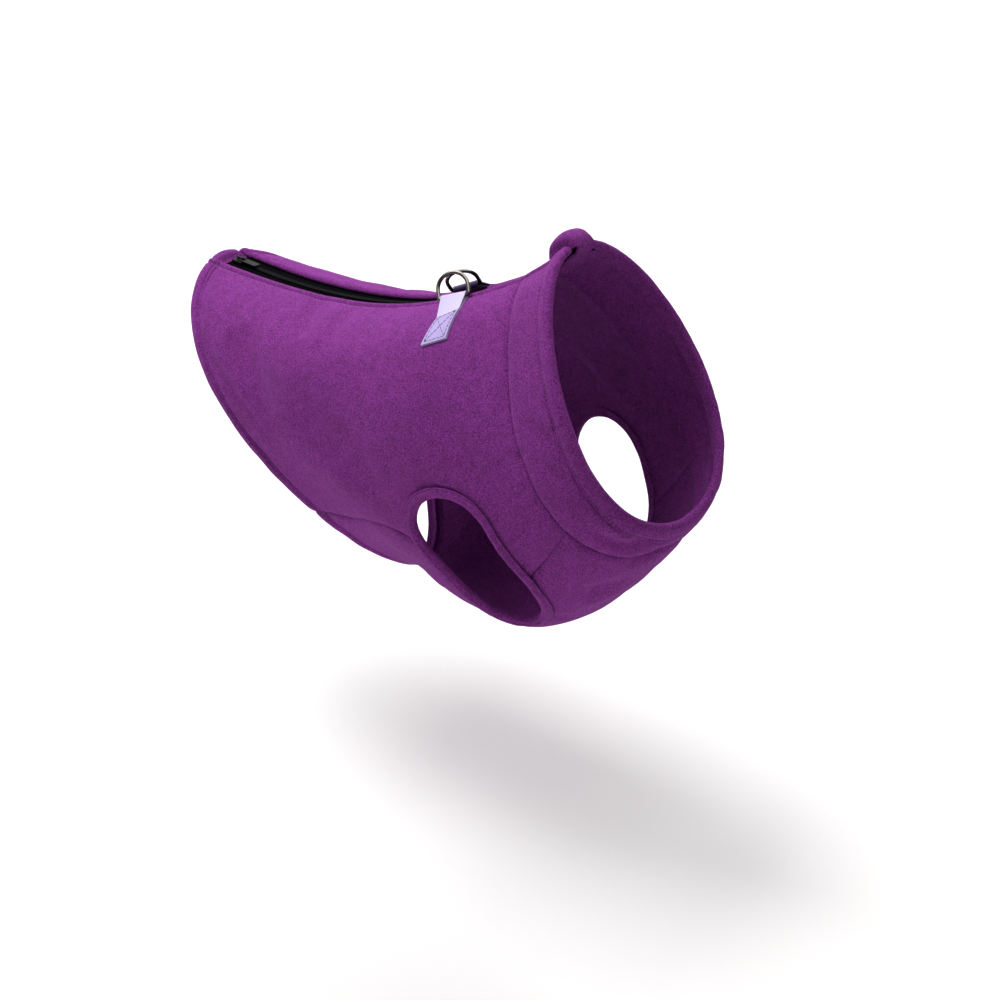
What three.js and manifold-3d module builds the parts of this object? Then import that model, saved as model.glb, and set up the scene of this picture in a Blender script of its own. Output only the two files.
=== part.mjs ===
// Dog winter coat: a hollow fleece coat in the shape it has when worn, with a zip along the back.
// Millimetres. +X points toward the head, +Y to the dog's left, +Z up.
// The origin is on the wearer's back, just under the guard strip of the zip, below the lead rings.
import * as THREE from 'three';
import { mergeVertices } from 'three/addons/utils/BufferGeometryUtils.js';
import Module from 'manifold-3d';

// Cloth and trim sizes
const FLEECE = 2.0; // one layer of fleece
const FOLDED = 4.0; // two layers, where an edge is turned under
const CLEAR = 0.3; // air between pieces that lie on each other
const HEM_TURN = 12; // depth of the turned hem
const ZIP_TURN = 8; // depth of the turned edge beside the zip
const FOLD_STEP = 1; // length over which two layers become one
const BINDING_WALL = 1.4; // folded strip on the neck and armhole edges
const NECK_BINDING = 12; // visible width of the neck strip
const ARM_BINDING = 8.5; // visible width of the armhole strip
const BINDING_AIR = 0.5; // between the folded strip's outer leg and the cloth
const BINDING_AIR_INSIDE = 0.6; // between its inner leg and the cloth
const BINDING_CORNER = 0.5; // the slant at the strip's fold
const EDGE_INSIDE_BINDING = 2.6; // how far the cloth's cut edge lies inside the strip's fold
const SEAM_HALF = 0.18; // half the air between two panels sewn edge to edge

// Zip sizes
const TAPE_HALF = 18; // from the centre line to the tape's outer edge
const TAPE_GAP_HALF = 1.3; // from the centre line to the tape's inner edge
const TAPE_WALL = 0.7;
const COIL_HALF = 2.7;
const COIL_TALL = 1.7;
const LAP_HALF = 21; // the guard strip under the zip
const LAP_WALL = 1.8;

// Webbing and ring sizes
const WEB_WALL = 0.8;
const WEB_AIR = 0.25; // air between the two layers of a folded webbing
const WEB_LIFT = 0.15; // extra height over the flat facets of the curved cloth
const LOOP_AIR = 0.4; // between a ring's bar and the webbing round it
const LOOP_HALF = 9.6; // half the webbing's width at the bar
const WIRE = 1.5; // radius of the ring's wire
const RING_WIDE = 23; // between the wire's centre lines, along the bar
const RING_TALL = 18.5; // bar to the top of the bow, between centre lines
const RING_CORNER = 1.6;
const RING_STEPS = 32;
const RING_SIDES = 8;

// The body form: one row for each slanted section, from the hem (along 0) to the neck edge (along 1).
// backX, backZ: its point on the zip line; bellyX, bellyZ: its point under the chest or throat;
// halfWidth: half its greatest width; egg: wider above (+) or below (-); flat: squareness.
const SECTIONS = [
  { along: 0.0, backX: -263, backZ: -17, bellyX: -45, bellyZ: -238, halfWidth: 86, egg: 0.2, flat: -0.1 },
  { along: 0.25, backX: -167, backZ: -21, bellyX: 17, bellyZ: -225, halfWidth: 91, egg: 0.3, flat: 0.14 },
  { along: 0.5, backX: -67, backZ: -12, bellyX: 85, bellyZ: -229, halfWidth: 97, egg: 0.12, flat: 0.22 },
  { along: 0.7, backX: 13, backZ: 11, bellyX: 147, bellyZ: -209, halfWidth: 94, egg: 0.0, flat: 0.16 },
  { along: 0.85, backX: 73, backZ: 41, bellyX: 206, bellyZ: -139, halfWidth: 80, egg: -0.24, flat: 0.04 },
  { along: 1.0, backX: 119, backZ: 73, bellyX: 222, bellyZ: -105, halfWidth: 76, egg: -0.14, flat: 0.06 },
];

// Half the distance between the two fleece edges beside the zip, by place along the coat
const ZIP_OPENING = [
  { along: 0.0, half: 15 },
  { along: 0.1, half: 13.8 },
  { along: 0.3, half: 13.4 },
  { along: 0.5, half: 12.6 },
  { along: 0.7, half: 10.8 },
  { along: 1.0, half: 10.5 },
];

// The collar seam: its place along the coat by angle round the section, 0 at the zip
const COLLAR_SEAM = [
  { angle: 0, along: 0.863 },
  { angle: 40, along: 0.858 },
  { angle: 60, along: 0.848 },
  { angle: 80, along: 0.837 },
  { angle: 122, along: 0.836 },
  { angle: 142, along: 0.845 },
  { angle: 160, along: 0.857 },
  { angle: 180, along: 0.875 },
];

// The seam between side panel and underside, from the hem to the rear of the armhole
const BELLY_SEAM = [
  { along: 0.0, angle: 121 },
  { along: 0.16, angle: 118 },
  { along: 0.3, angle: 112.5 },
  { along: 0.42, angle: 107 },
  { along: 0.56, angle: 102.5 },
];

// The armhole's edge round its middle point: turn 0 toward the head, 90 down; reach in mm
const ARM_MIDDLE = { along: 0.665, angle: 118 };
const ALONG_TO_MM = 400;
const ANGLE_TO_MM = 2.05;
const ARM_EDGE = [
  { turn: -180, reach: 25 },
  { turn: -158, reach: 31 },
  { turn: -140, reach: 46 },
  { turn: -120, reach: 53 },
  { turn: -96, reach: 58 },
  { turn: -72, reach: 54 },
  { turn: -48, reach: 39 },
  { turn: -20, reach: 28.5 },
  { turn: 10, reach: 27.5 },
  { turn: 35, reach: 33 },
  { turn: 60, reach: 47 },
  { turn: 80, reach: 63 },
  { turn: 96, reach: 62 },
  { turn: 115, reach: 41 },
  { turn: 140, reach: 26.5 },
];
const ARM_REAR_TURN = -146; // where the belly seam meets the armhole
const ARM_FRONT_TURN = 42; // where the short chest seam meets the armhole
const CHEST_SEAM_TOP = 123; // angle at which it meets the collar seam

// Steps of the meshes
const BELLY_COLUMNS = 9;
const ARM_UPPER_COLUMNS = 18;
const ARM_LOWER_COLUMNS = 20;
const CHEST_COLUMNS = 3;
const SIDE_ROWS = 11;
const UNDER_HALF_ROWS = 6;
const COLLAR_ROWS = 4;
const COLLAR_COLUMNS = 18;
const ZIP_STEPS = 30;
const SIDE_COLUMNS_REAR = 0.455; // along the zip line, where the columns of the armhole's rear and front end
const SIDE_COLUMNS_FRONT = 0.838;
const UNDER_COLUMNS_REAR = 0.42; // the same on the belly line
const UNDER_COLUMNS_FRONT = 0.79;

// Rounded curve through the values of one column of a table (a natural cubic)
function curveThrough(table, key, column) {
  const n = table.length;
  const x = table.map((row) => row[key]);
  const y = table.map((row) => row[column]);
  const bend = new Array(n).fill(0);
  const carry = new Array(n).fill(0);
  for (let i = 1; i < n - 1; i += 1) {
    const before = x[i] - x[i - 1];
    const after = x[i + 1] - x[i];
    const pull = 6 * ((y[i + 1] - y[i]) / after - (y[i] - y[i - 1]) / before);
    const scale = 2 * (before + after) - before * carry[i - 1];
    carry[i] = after / scale;
    bend[i] = (pull - before * bend[i - 1]) / scale;
  }
  for (let i = n - 2; i > 0; i -= 1) bend[i] -= carry[i] * bend[i + 1];
  return (at) => {
    let i = 0;
    while (i < n - 2 && at > x[i + 1]) i += 1;
    const span = x[i + 1] - x[i];
    const b = (at - x[i]) / span;
    const a = 1 - b;
    const round = ((a ** 3 - a) * bend[i] + (b ** 3 - b) * bend[i + 1]) * (span ** 2 / 6);
    return a * y[i] + b * y[i + 1] + round;
  };
}

const columns = ['backX', 'backZ', 'bellyX', 'bellyZ', 'halfWidth', 'egg', 'flat'];
const sectionCurves = columns.map((name) => curveThrough(SECTIONS, 'along', name));
const zipHalf = curveThrough(ZIP_OPENING, 'along', 'half');
const seamAlong = curveThrough(COLLAR_SEAM, 'angle', 'along');
const bellyAngle = curveThrough(BELLY_SEAM, 'along', 'angle');
const lastTurn = { turn: 180, reach: ARM_EDGE[0].reach };
const armReach = curveThrough([...ARM_EDGE, lastTurn], 'turn', 'reach');

const rad = THREE.MathUtils.degToRad;
const deg = THREE.MathUtils.radToDeg;
const lerp = THREE.MathUtils.lerp;

// Point on the coat's outer face. angle (radians) is 0 on the zip and grows down the right side.
function face(along, angle) {
  const [backX, backZ, bellyX, bellyZ, halfWidth, egg, flat] = sectionCurves.map((curve) => curve(along));
  const c = Math.cos(angle);
  const down = (1 - c) / 2;
  const side = halfWidth * Math.sin(angle) * (1 + egg * c + flat * c * c);
  return new THREE.Vector3(lerp(backX, bellyX, down), -side, lerp(backZ, bellyZ, down));
}

function slopes(along, angle) {
  const h = 0.001;
  const headward = face(along + h, angle).sub(face(along - h, angle)).divideScalar(2 * h);
  const downward = face(along, angle + h).sub(face(along, angle - h)).divideScalar(2 * h);
  return { headward, downward };
}

function outward(along, angle) {
  const { headward, downward } = slopes(along, angle);
  return downward.cross(headward).normalize();
}

// Point at a height above (+) or below (-) the outer face
function onCloth(along, angle, lift) {
  return face(along, angle).addScaledVector(outward(along, angle), lift);
}

// Angle at which the outer face is y mm to the right (+) or left (-) of the zip line
function angleAt(along, y) {
  let angle = 0;
  for (let i = 0; i < 6; i += 1) {
    const off = -face(along, angle).y - y;
    angle -= off / -slopes(along, angle).downward.y;
  }
  return angle;
}

// Move a place on the coat by mm in a direction given in space
function moved(place, direction, mm) {
  const { headward, downward } = slopes(place.along, place.angle);
  const a = headward.dot(headward);
  const b = headward.dot(downward);
  const c = downward.dot(downward);
  const p = headward.dot(direction) * mm;
  const q = downward.dot(direction) * mm;
  const det = a * c - b * b;
  return { along: place.along + (p * c - q * b) / det, angle: place.angle + (q * a - p * b) / det };
}

// Unit directions in the cloth, square to an edge that runs through the places, on the rough direction's side
function inwardDirections(places, closed, rough) {
  const n = places.length;
  return places.map((place, i) => {
    const next = closed ? places[(i + 1) % n] : places[Math.min(i + 1, n - 1)];
    const last = closed ? places[(i + n - 1) % n] : places[Math.max(i - 1, 0)];
    const run = face(next.along, next.angle).sub(face(last.along, last.angle)).normalize();
    const square = run.cross(outward(place.along, place.angle));
    return square.multiplyScalar(Math.sign(square.dot(rough(place))));
  });
}

// Closed solid between two grids of points; a wrapped grid closes on itself in its first direction
function slab(outer, inner, wrapped = false) {
  const rows = outer.length;
  const cols = outer[0].length;
  const points = [...outer.flat(), ...inner.flat()];
  const at = (layer, i, j) => layer * rows * cols + (i % rows) * cols + j;
  const index = [];
  const quad = (a, b, c, d) => index.push(a, b, c, a, c, d);
  const lastRow = wrapped ? rows : rows - 1;
  for (let i = 0; i < lastRow; i += 1) {
    for (let j = 0; j < cols - 1; j += 1) {
      quad(at(0, i, j), at(0, i + 1, j), at(0, i + 1, j + 1), at(0, i, j + 1));
      quad(at(1, i, j), at(1, i, j + 1), at(1, i + 1, j + 1), at(1, i + 1, j));
    }
    quad(at(0, i, 0), at(1, i, 0), at(1, i + 1, 0), at(0, i + 1, 0));
    quad(at(0, i, cols - 1), at(0, i + 1, cols - 1), at(1, i + 1, cols - 1), at(1, i, cols - 1));
  }
  if (!wrapped) {
    for (let j = 0; j < cols - 1; j += 1) {
      quad(at(0, 0, j), at(0, 0, j + 1), at(1, 0, j + 1), at(1, 0, j));
      quad(at(0, rows - 1, j), at(1, rows - 1, j), at(1, rows - 1, j + 1), at(0, rows - 1, j + 1));
    }
  }
  return closedGeometry(points, index);
}

// Geometry with its faces turned outward
function closedGeometry(points, index) {
  let volume = 0;
  for (let i = 0; i < index.length; i += 3) {
    const [a, b, c] = [points[index[i]], points[index[i + 1]], points[index[i + 2]]];
    volume += a.dot(b.clone().cross(c)) / 6;
  }
  const geometry = new THREE.BufferGeometry().setFromPoints(points);
  geometry.setIndex(volume > 0 ? index : index.slice().reverse());
  geometry.computeVertexNormals();
  return geometry;
}

// Cloth panel from a grid of places, with the thickness found for each place
function panel(places, thickness) {
  const outer = places.map((row) => row.map((p) => onCloth(p.along, p.angle, 0)));
  const inner = places.map((row, i) => row.map((p, j) => onCloth(p.along, p.angle, -thickness(i, j))));
  return slab(outer, inner);
}

// Strip of even thickness on a grid of points, split about the grid
function strip(grid, wall, wrapped = false) {
  const rows = grid.length;
  const cols = grid[0].length;
  const row = (i) => (wrapped ? (i + rows) % rows : Math.min(Math.max(i, 0), rows - 1));
  const col = (j) => Math.min(Math.max(j, 0), cols - 1);
  const side = (sign) => grid.map((line, i) => line.map((point, j) => {
    const u = grid[row(i + 1)][j].clone().sub(grid[row(i - 1)][j]);
    const v = grid[i][col(j + 1)].clone().sub(grid[i][col(j - 1)]);
    return point.clone().addScaledVector(u.cross(v).normalize(), (sign * wall) / 2);
  }));
  return slab(side(1), side(-1), wrapped);
}

// The armhole

function armPlace(turn) {
  const wrappedTurn = ((turn + 180) % 360 + 360) % 360 - 180;
  const reach = armReach(wrappedTurn);
  const along = ARM_MIDDLE.along + (reach * Math.cos(rad(turn))) / ALONG_TO_MM;
  const angle = ARM_MIDDLE.angle + (reach * Math.sin(rad(turn))) / ANGLE_TO_MM;
  return { along, angle: rad(angle) };
}

function awayFromArm(place) {
  return face(place.along, place.angle).sub(face(ARM_MIDDLE.along, rad(ARM_MIDDLE.angle)));
}

function tailward(place) {
  return slopes(place.along, place.angle).headward.normalize().negate();
}

function armArc(from, to, steps) {
  return Array.from({ length: steps + 1 }, (_, i) => armPlace(lerp(from, to, i / steps)));
}

// The cut edge of the cloth round the armhole, a little outside the strip's fold
function cutEdge(from, to, steps) {
  const ring = armArc(from, to, steps);
  const ends = armArc(from - (to - from) / steps, to + (to - from) / steps, steps + 2);
  const out = inwardDirections(ends, false, awayFromArm).slice(1, -1);
  return ring.map((place, i) => moved(place, out[i], EDGE_INSIDE_BINDING));
}

function bellyPlaces(end) {
  const turned = HEM_TURN / ALONG_TO_MM;
  const start = turned + FOLD_STEP / ALONG_TO_MM;
  const rest = Array.from({ length: BELLY_COLUMNS }, (_, i) => lerp(start, end.along, i / BELLY_COLUMNS));
  return [0, turned, ...rest].map((along) => {
    const blend = Math.max(0, (along / end.along - 0.75) / 0.25);
    return { along, angle: lerp(rad(bellyAngle(along)), end.angle, blend) };
  });
}

function chestPlaces(start) {
  const end = { along: seamAlong(CHEST_SEAM_TOP), angle: rad(CHEST_SEAM_TOP) };
  return Array.from({ length: CHEST_COLUMNS }, (_, i) => {
    const part = (i + 1) / CHEST_COLUMNS;
    return { along: lerp(start.along, end.along, part), angle: lerp(start.angle, end.angle, part) };
  });
}

// The lower edge of a side panel, or the side edge of the underside, from hem to collar seam
function panelEdge(lower) {
  const fullTurn = lower ? ARM_FRONT_TURN - 360 : ARM_FRONT_TURN;
  const steps = lower ? ARM_LOWER_COLUMNS : ARM_UPPER_COLUMNS;
  const arc = cutEdge(ARM_REAR_TURN, fullTurn, steps);
  const belly = bellyPlaces(arc[0]);
  const chest = chestPlaces(arc[steps]);
  const part = rad(SEAM_HALF / ANGLE_TO_MM);
  const apart = (place) => ({ along: place.along, angle: place.angle + (lower ? part : -part) });
  const ends = [0, steps];
  const ring = arc.map((place, i) => (ends.includes(i) ? apart(place) : place));
  const places = [...belly.map(apart), ...ring, ...chest.map(apart)];
  return { places, belly: belly.length, arc: steps + 1 };
}

// Places along the collar seam are held back by half the seam's air
function seamEdge(angle, sign) {
  const { headward } = slopes(seamAlong(deg(angle)), angle);
  return seamAlong(deg(angle)) + (sign * SEAM_HALF) / headward.length();
}

// The far ends of the mesh lines: how far along the coat each column ends on the zip or belly line.
// spread gives the armhole's columns their share of the way from its rear to its front.
function farAlong(edge, rearAlong, frontAlong, endAlong, spread) {
  const { places, belly, arc } = edge;
  const rear = places[belly].along;
  const chest = places.length - belly - arc;
  return places.map((place, i) => {
    if (i < belly) return place.along - (rear - rearAlong) * (place.along / rear) ** 2;
    if (i < belly + arc) return lerp(rearAlong, frontAlong, spread((i - belly) / (arc - 1)));
    return lerp(frontAlong, endAlong, (i - belly - arc + 1) / chest);
  });
}

// Shares from 0 to 1 in steps that get shorter toward 1, the edge that a folded strip covers
function closingSteps(steps) {
  return Array.from({ length: steps + 1 }, (_, j) => 1 - (1 - j / steps) ** 1.3);
}

function easeToSeam(along, angle, share) {
  return lerp(along, seamEdge(angle, -1), share);
}

// Above the armhole the columns close up toward its front, which hangs below its rear
function closeToFront(part) {
  return 0.82 * THREE.MathUtils.smoothstep(part, 0, 0.65) + 0.18 * part;
}

function sidePlaces(sign) {
  const edge = panelEdge(false);
  const zipEnd = seamEdge(rad(5), -1);
  const tops = farAlong(edge, SIDE_COLUMNS_REAR, SIDE_COLUMNS_FRONT, zipEnd, closeToFront);
  const firstLate = edge.belly + edge.arc - 1;
  return edge.places.map((low, i) => {
    const top = tops[i];
    const late = i >= firstLate ? (i - firstLate) / (edge.places.length - 1 - firstLate) : 0;
    const starts = [0, ZIP_TURN, ZIP_TURN + FOLD_STEP].map((mm) => angleAt(top, zipHalf(top) + mm));
    const rest = closingSteps(SIDE_ROWS).slice(1).map((share) => lerp(starts[2], low.angle, share));
    return [...starts, ...rest].map((angle) => {
      const share = (angle - starts[0]) / (low.angle - starts[0]);
      return { along: easeToSeam(lerp(top, low.along, share), angle, late ** 2), angle: sign * angle };
    });
  });
}

function sidePanel(sign) {
  const hemColumns = 2;
  const turnRows = 2;
  return panel(sidePlaces(sign), (i, j) => (i < hemColumns || j < turnRows ? FOLDED : FLEECE));
}

function underside() {
  const edge = panelEdge(true);
  const middle = farAlong(edge, UNDER_COLUMNS_REAR, UNDER_COLUMNS_FRONT, seamEdge(Math.PI, -1), (part) => part);
  const firstLate = edge.belly + edge.arc - 1;
  const places = edge.places.map((low, i) => {
    const late = i >= firstLate ? (i - firstLate) / (edge.places.length - 1 - firstLate) : 0;
    const half = closingSteps(UNDER_HALF_ROWS).reverse().map((left) => {
      const angle = lerp(low.angle, Math.PI, 1 - left);
      return { along: easeToSeam(lerp(low.along, middle[i], 1 - left), angle, late ** 2), angle };
    });
    const back = half.slice(0, -1).reverse();
    const other = back.map(({ along, angle }) => ({ along, angle: 2 * Math.PI - angle }));
    return [...half, ...other];
  });
  const hemColumns = 2;
  return panel(places, (i) => (i < hemColumns ? FOLDED : FLEECE));
}

// The collar and the strip on its edge run from one side of the zip round the throat to the other

function collarAngles(along) {
  const starts = [0, ZIP_TURN, ZIP_TURN + FOLD_STEP].map((mm) => angleAt(along, zipHalf(along) + mm));
  const part = (j) => (j + 1) / COLLAR_COLUMNS;
  const rest = Array.from({ length: COLLAR_COLUMNS }, (_, j) => lerp(starts[2], Math.PI, part(j)));
  const half = [...starts, ...rest];
  const other = half.slice(0, -1).reverse().map((angle) => 2 * Math.PI - angle);
  return [...half, ...other];
}

function collar() {
  const bound = NECK_BINDING + FOLD_STEP;
  const angles = collarAngles(1);
  const places = angles.map((rimAngle, i) => {
    const length = slopes(1, rimAngle).headward.length();
    const seam = seamEdge(rimAngle > Math.PI ? 2 * Math.PI - rimAngle : rimAngle, 1);
    const before = 1 - bound / length;
    const step = Array.from({ length: COLLAR_ROWS - 1 }, (_, j) => lerp(seam, before, j / (COLLAR_ROWS - 2)));
    const stations = [...step, before + FOLD_STEP / length, 1 - EDGE_INSIDE_BINDING / length];
    return stations.map((along) => ({ along, angle: collarAngles(along)[i] }));
  });
  const middle = (angles.length - 1) / 2;
  const turnColumns = 2;
  const single = COLLAR_ROWS - 1;
  return panel(places, (i, j) => {
    const besideZip = Math.abs(i - middle) > middle - turnColumns;
    return besideZip && j < single ? FOLDED : FLEECE;
  });
}

// A folded strip over an edge: its legs lie on both faces of the cloth
function bindingSection(width) {
  const above = BINDING_AIR + BINDING_WALL / 2;
  const below = -FLEECE - BINDING_AIR_INSIDE - BINDING_WALL / 2;
  const middle = -FLEECE / 2;
  const half = BINDING_WALL / 2;
  return [
    { into: width, lift: above },
    { into: EDGE_INSIDE_BINDING, lift: above },
    { into: half + BINDING_CORNER, lift: above - BINDING_CORNER },
    { into: half, lift: middle },
    { into: half + BINDING_CORNER, lift: below + BINDING_CORNER },
    { into: EDGE_INSIDE_BINDING, lift: below },
    { into: width, lift: below },
  ];
}

function binding(places, directions, width, closed, mirror) {
  const grid = places.map((place, i) => bindingSection(width).map(({ into, lift }) => {
    const spot = moved(place, directions[i], into);
    const point = onCloth(spot.along, spot.angle, lift);
    return mirror ? point.setY(-point.y) : point;
  }));
  return strip(grid, BINDING_WALL, closed);
}

function neckBinding() {
  const places = collarAngles(1).map((angle) => ({ along: 1, angle }));
  const kept = places.filter((_, i) => i !== 1 && i !== places.length - 2);
  return binding(kept, kept.map(tailward), NECK_BINDING, false, false);
}

function armBinding(mirror) {
  const upper = armArc(ARM_REAR_TURN, ARM_FRONT_TURN, ARM_UPPER_COLUMNS).slice(0, -1);
  const lower = armArc(ARM_FRONT_TURN, ARM_REAR_TURN + 360, ARM_LOWER_COLUMNS).slice(0, -1);
  const ring = [...upper, ...lower];
  return binding(ring, inwardDirections(ring, true, awayFromArm), ARM_BINDING, true, mirror);
}

// The zip: everything is placed by mm across the zip line and height below the outer face

function acrossZip(from, to, steps, half, low, high) {
  const layer = (lift) => Array.from({ length: steps + 1 }, (_, i) => {
    const along = lerp(from, to, i / steps);
    const [left, right] = half(along);
    return [left, (left + right) / 2, right].map((y) => onCloth(along, angleAt(along, y), lift(along)));
  });
  return slab(layer(high), layer(low));
}

const TAPE_TOP = -FOLDED - CLEAR;
const TAPE_BOTTOM = TAPE_TOP - TAPE_WALL;
const COIL_BOTTOM = TAPE_TOP + CLEAR;
const COIL_TOP = COIL_BOTTOM + COIL_TALL;
const LAP_TOP = TAPE_BOTTOM - CLEAR;
const ZIP_START = 0.032;
const ZIP_END = 0.995;
const COIL_START = 0.035;
const COIL_END = 0.975;

function zipTape(sign) {
  const edges = () => [sign * TAPE_GAP_HALF, sign * TAPE_HALF];
  return acrossZip(ZIP_START, ZIP_END, ZIP_STEPS, edges, () => TAPE_BOTTOM, () => TAPE_TOP);
}

function zipCoil() {
  const edges = () => [-COIL_HALF, COIL_HALF];
  return acrossZip(COIL_START, COIL_END, ZIP_STEPS, edges, () => COIL_BOTTOM, () => COIL_TOP);
}

// The guard strip: past the zip's tail end it is narrower, rises between the panels and ends round
const LAP_SHAPE = [
  { along: -0.005, half: 5, top: -2.2 },
  { along: -0.001, half: 11, top: -1.5 },
  { along: 0.003, half: 14.1, top: -1.2 },
  { along: 0.012, half: 14.0, top: -1.8 },
  { along: 0.02, half: 13.6, top: -3.9 },
  { along: 0.027, half: 13.2, top: LAP_TOP },
  { along: 0.032, half: LAP_HALF, top: LAP_TOP },
];
const LAP_STRAIGHT = 0.1; // from here its rows are evenly spaced
const LAP_END = 0.987;

function underlap() {
  const long = Array.from({ length: ZIP_STEPS + 1 }, (_, i) => ({
    along: lerp(LAP_STRAIGHT, LAP_END, i / ZIP_STEPS), half: LAP_HALF, top: LAP_TOP,
  }));
  const rows = [...LAP_SHAPE, ...long];
  const layer = (drop) => rows.map(({ along, half, top }) => [-1, -0.5, 0, 0.5, 1].map((part) => (
    onCloth(along, angleAt(along, part * half), top - drop))));
  return slab(layer(0), layer(LAP_WALL));
}

// The folded tab over the zip's neck end bulges between the collar's ends: run is mm past the neck edge, middle
// and side are mm above the outer face
const TAB_FOLD = [
  { run: -23, middle: 0.4, side: -1.0, half: 7.6 },
  { run: -22, middle: 3.4, side: -1.4, half: 8.6 },
  { run: -19, middle: 7.0, side: -1.8, half: 9.0 },
  { run: -14, middle: 9.4, side: -1.8, half: 9.0 },
  { run: -7, middle: 10.2, side: -1.8, half: 9.0 },
  { run: -1, middle: 9.2, side: -1.8, half: 8.9 },
  { run: 3.0, middle: 5.8, side: -2.2, half: 8.7 },
  { run: 4.6, middle: 0.6, side: -3.0, half: 8.7 },
  { run: 3.4, middle: -4.2, side: -4.6, half: 8.7 },
  { run: 0.6, middle: -6.2, side: -6.2, half: 8.7 },
  { run: -2.6, middle: -6.4, side: -6.4, half: 8.7 },
];
const TAB_PARTS = [-1, -0.93, -0.75, -0.4, 0, 0.4, 0.75, 0.93, 1];

function zipGarage() {
  const speed = slopes(1, 0).headward.length();
  const grid = TAB_FOLD.map(({ run, middle, side, half }) => TAB_PARTS.map((part) => {
    const along = 1 + run / speed;
    const arch = Math.sqrt(1 - part ** 4);
    return onCloth(along, angleAt(along, part * half), lerp(side, middle, arch));
  }));
  return strip(grid, LAP_WALL);
}

// Slider and pull tab, built flat at the origin: +X along the zip toward the head

const wasm = await Module();
wasm.setup();

function toSolid(geometry) {
  const bare = geometry.clone();
  bare.deleteAttribute('normal');
  bare.deleteAttribute('uv');
  const merged = mergeVertices(bare, 1e-4);
  const triVerts = Uint32Array.from(merged.index.array);
  const vertProperties = Float32Array.from(merged.attributes.position.array);
  return new wasm.Manifold(new wasm.Mesh({ numProp: 3, vertProperties, triVerts }));
}

function toGeometry(solid) {
  const mesh = solid.getMesh();
  const geometry = new THREE.BufferGeometry();
  geometry.setAttribute('position', new THREE.BufferAttribute(mesh.vertProperties, 3));
  geometry.setIndex(new THREE.BufferAttribute(mesh.triVerts, 1));
  geometry.computeVertexNormals();
  return geometry;
}

function box(sizeX, sizeY, sizeZ, x, y, z) {
  return new THREE.BoxGeometry(sizeX, sizeY, sizeZ).translate(x, y, z);
}

const SLIDER = { long: 12, half: 4.8, roof: 0.9, cheek: 1.3 };
const CROWN = { tall: 2.6, long: 7, wide: 2.4, post: 1.1, bridge: 1.0, sunk: 0.2 };
const SLIDER_ALONG = 0.055;
const PULL = { long: 24, wide: 7, wall: 0.9, bar: 1.0, slotLong: 7, slotWide: 4 };
const PULL_BAR = -1.4; // the middle of the tab's bar, under the crown
const PULL_AIR = 0.25; // between the slider's roof and the tab
const CUT = 2; // cutting blocks reach this far past the cut block

// Heights in the slider's own frame are measured from the coil's top
function zipSlider() {
  const { long, half, roof, cheek } = SLIDER;
  const top = CLEAR + roof;
  const deep = COIL_TALL + CLEAR;
  const block = toSolid(box(long, 2 * half, deep + roof, 0, 0, top - (deep + roof) / 2));
  const channel = toSolid(box(long + CUT, 2 * (half - cheek), deep + CUT, 0, 0, CLEAR - (deep + CUT) / 2));
  const crown = toSolid(box(CROWN.long, CROWN.wide, CROWN.tall, 0, 0, top + CROWN.tall / 2 - CROWN.sunk));
  const eyeTall = CROWN.tall - CROWN.bridge;
  const eye = toSolid(box(CROWN.long - 2 * CROWN.post, CROWN.wide + CUT, eyeTall, 0, 0, top + eyeTall / 2));
  return toGeometry(block.subtract(channel).add(crown.subtract(eye)));
}

// The pull tab lies forward from the crown; its slot goes round the crown's front post
function pullTab() {
  const { long, wide, wall, bar, slotLong, slotWide } = PULL;
  const outline = new THREE.Shape();
  const half = wide / 2;
  const back = PULL_BAR - bar / 2;
  const round = 1;
  outline.moveTo(back + round, -half);
  outline.lineTo(back + long - half, -half);
  outline.absarc(back + long - half, 0, half, -Math.PI / 2, Math.PI / 2, false);
  outline.lineTo(back + round, half);
  outline.quadraticCurveTo(back, half, back, half - round);
  outline.lineTo(back, -half + round);
  outline.quadraticCurveTo(back, -half, back + round, -half);
  const slot = new THREE.Path();
  slot.moveTo(back + bar, -slotWide / 2);
  slot.lineTo(back + bar, slotWide / 2);
  slot.lineTo(back + bar + slotLong, slotWide / 2);
  slot.lineTo(back + bar + slotLong, -slotWide / 2);
  slot.closePath();
  outline.holes.push(slot);
  const plate = new THREE.ExtrudeGeometry(outline, { depth: wall, bevelEnabled: false, curveSegments: 5 });
  return plate.translate(0, 0, -wall / 2);
}

// Frame on the zip line: x toward the head, z out of the cloth
function zipFrame(along, lift) {
  const x = slopes(along, 0).headward.normalize();
  const z = outward(along, 0);
  const y = z.clone().cross(x);
  const matrix = new THREE.Matrix4().makeBasis(x, y, z);
  return matrix.setPosition(onCloth(along, 0, lift));
}

// Rings and webbing: bar is the middle of the ring's straight bar, way its direction, stand points to the bow
const RING_RIGHT = {
  bar: [23.4, -23.7, 16.9],
  way: [0.83, 0.5, 0.27],
  stand: [-0.46, 0.38, 0.82],
  webEnd: { rear: 0.7, front: 0.743, angleRear: 36, angleFront: 36 },
  webStitch: { rear: 0.711, front: 0.75, angleRear: 23, angleFront: 21 },
};
const RING_LEFT = {
  bar: [13.6, 0.5, 16.0],
  way: [0.8, 0.5, 0.33],
  stand: [0.049, -0.603, 0.796],
  webEnd: { rear: 0.677, front: 0.722, angleRear: -30, angleFront: -30 },
  webStitch: { rear: 0.683, front: 0.728, angleRear: -8.5, angleFront: -8.5 },
};

function ringFrame(ring) {
  const way = new THREE.Vector3(...ring.way).normalize();
  const stand = new THREE.Vector3(...ring.stand);
  stand.addScaledVector(way, -stand.dot(way)).normalize();
  return { bar: new THREE.Vector3(...ring.bar), way, stand, flat: way.clone().cross(stand) };
}

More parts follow.
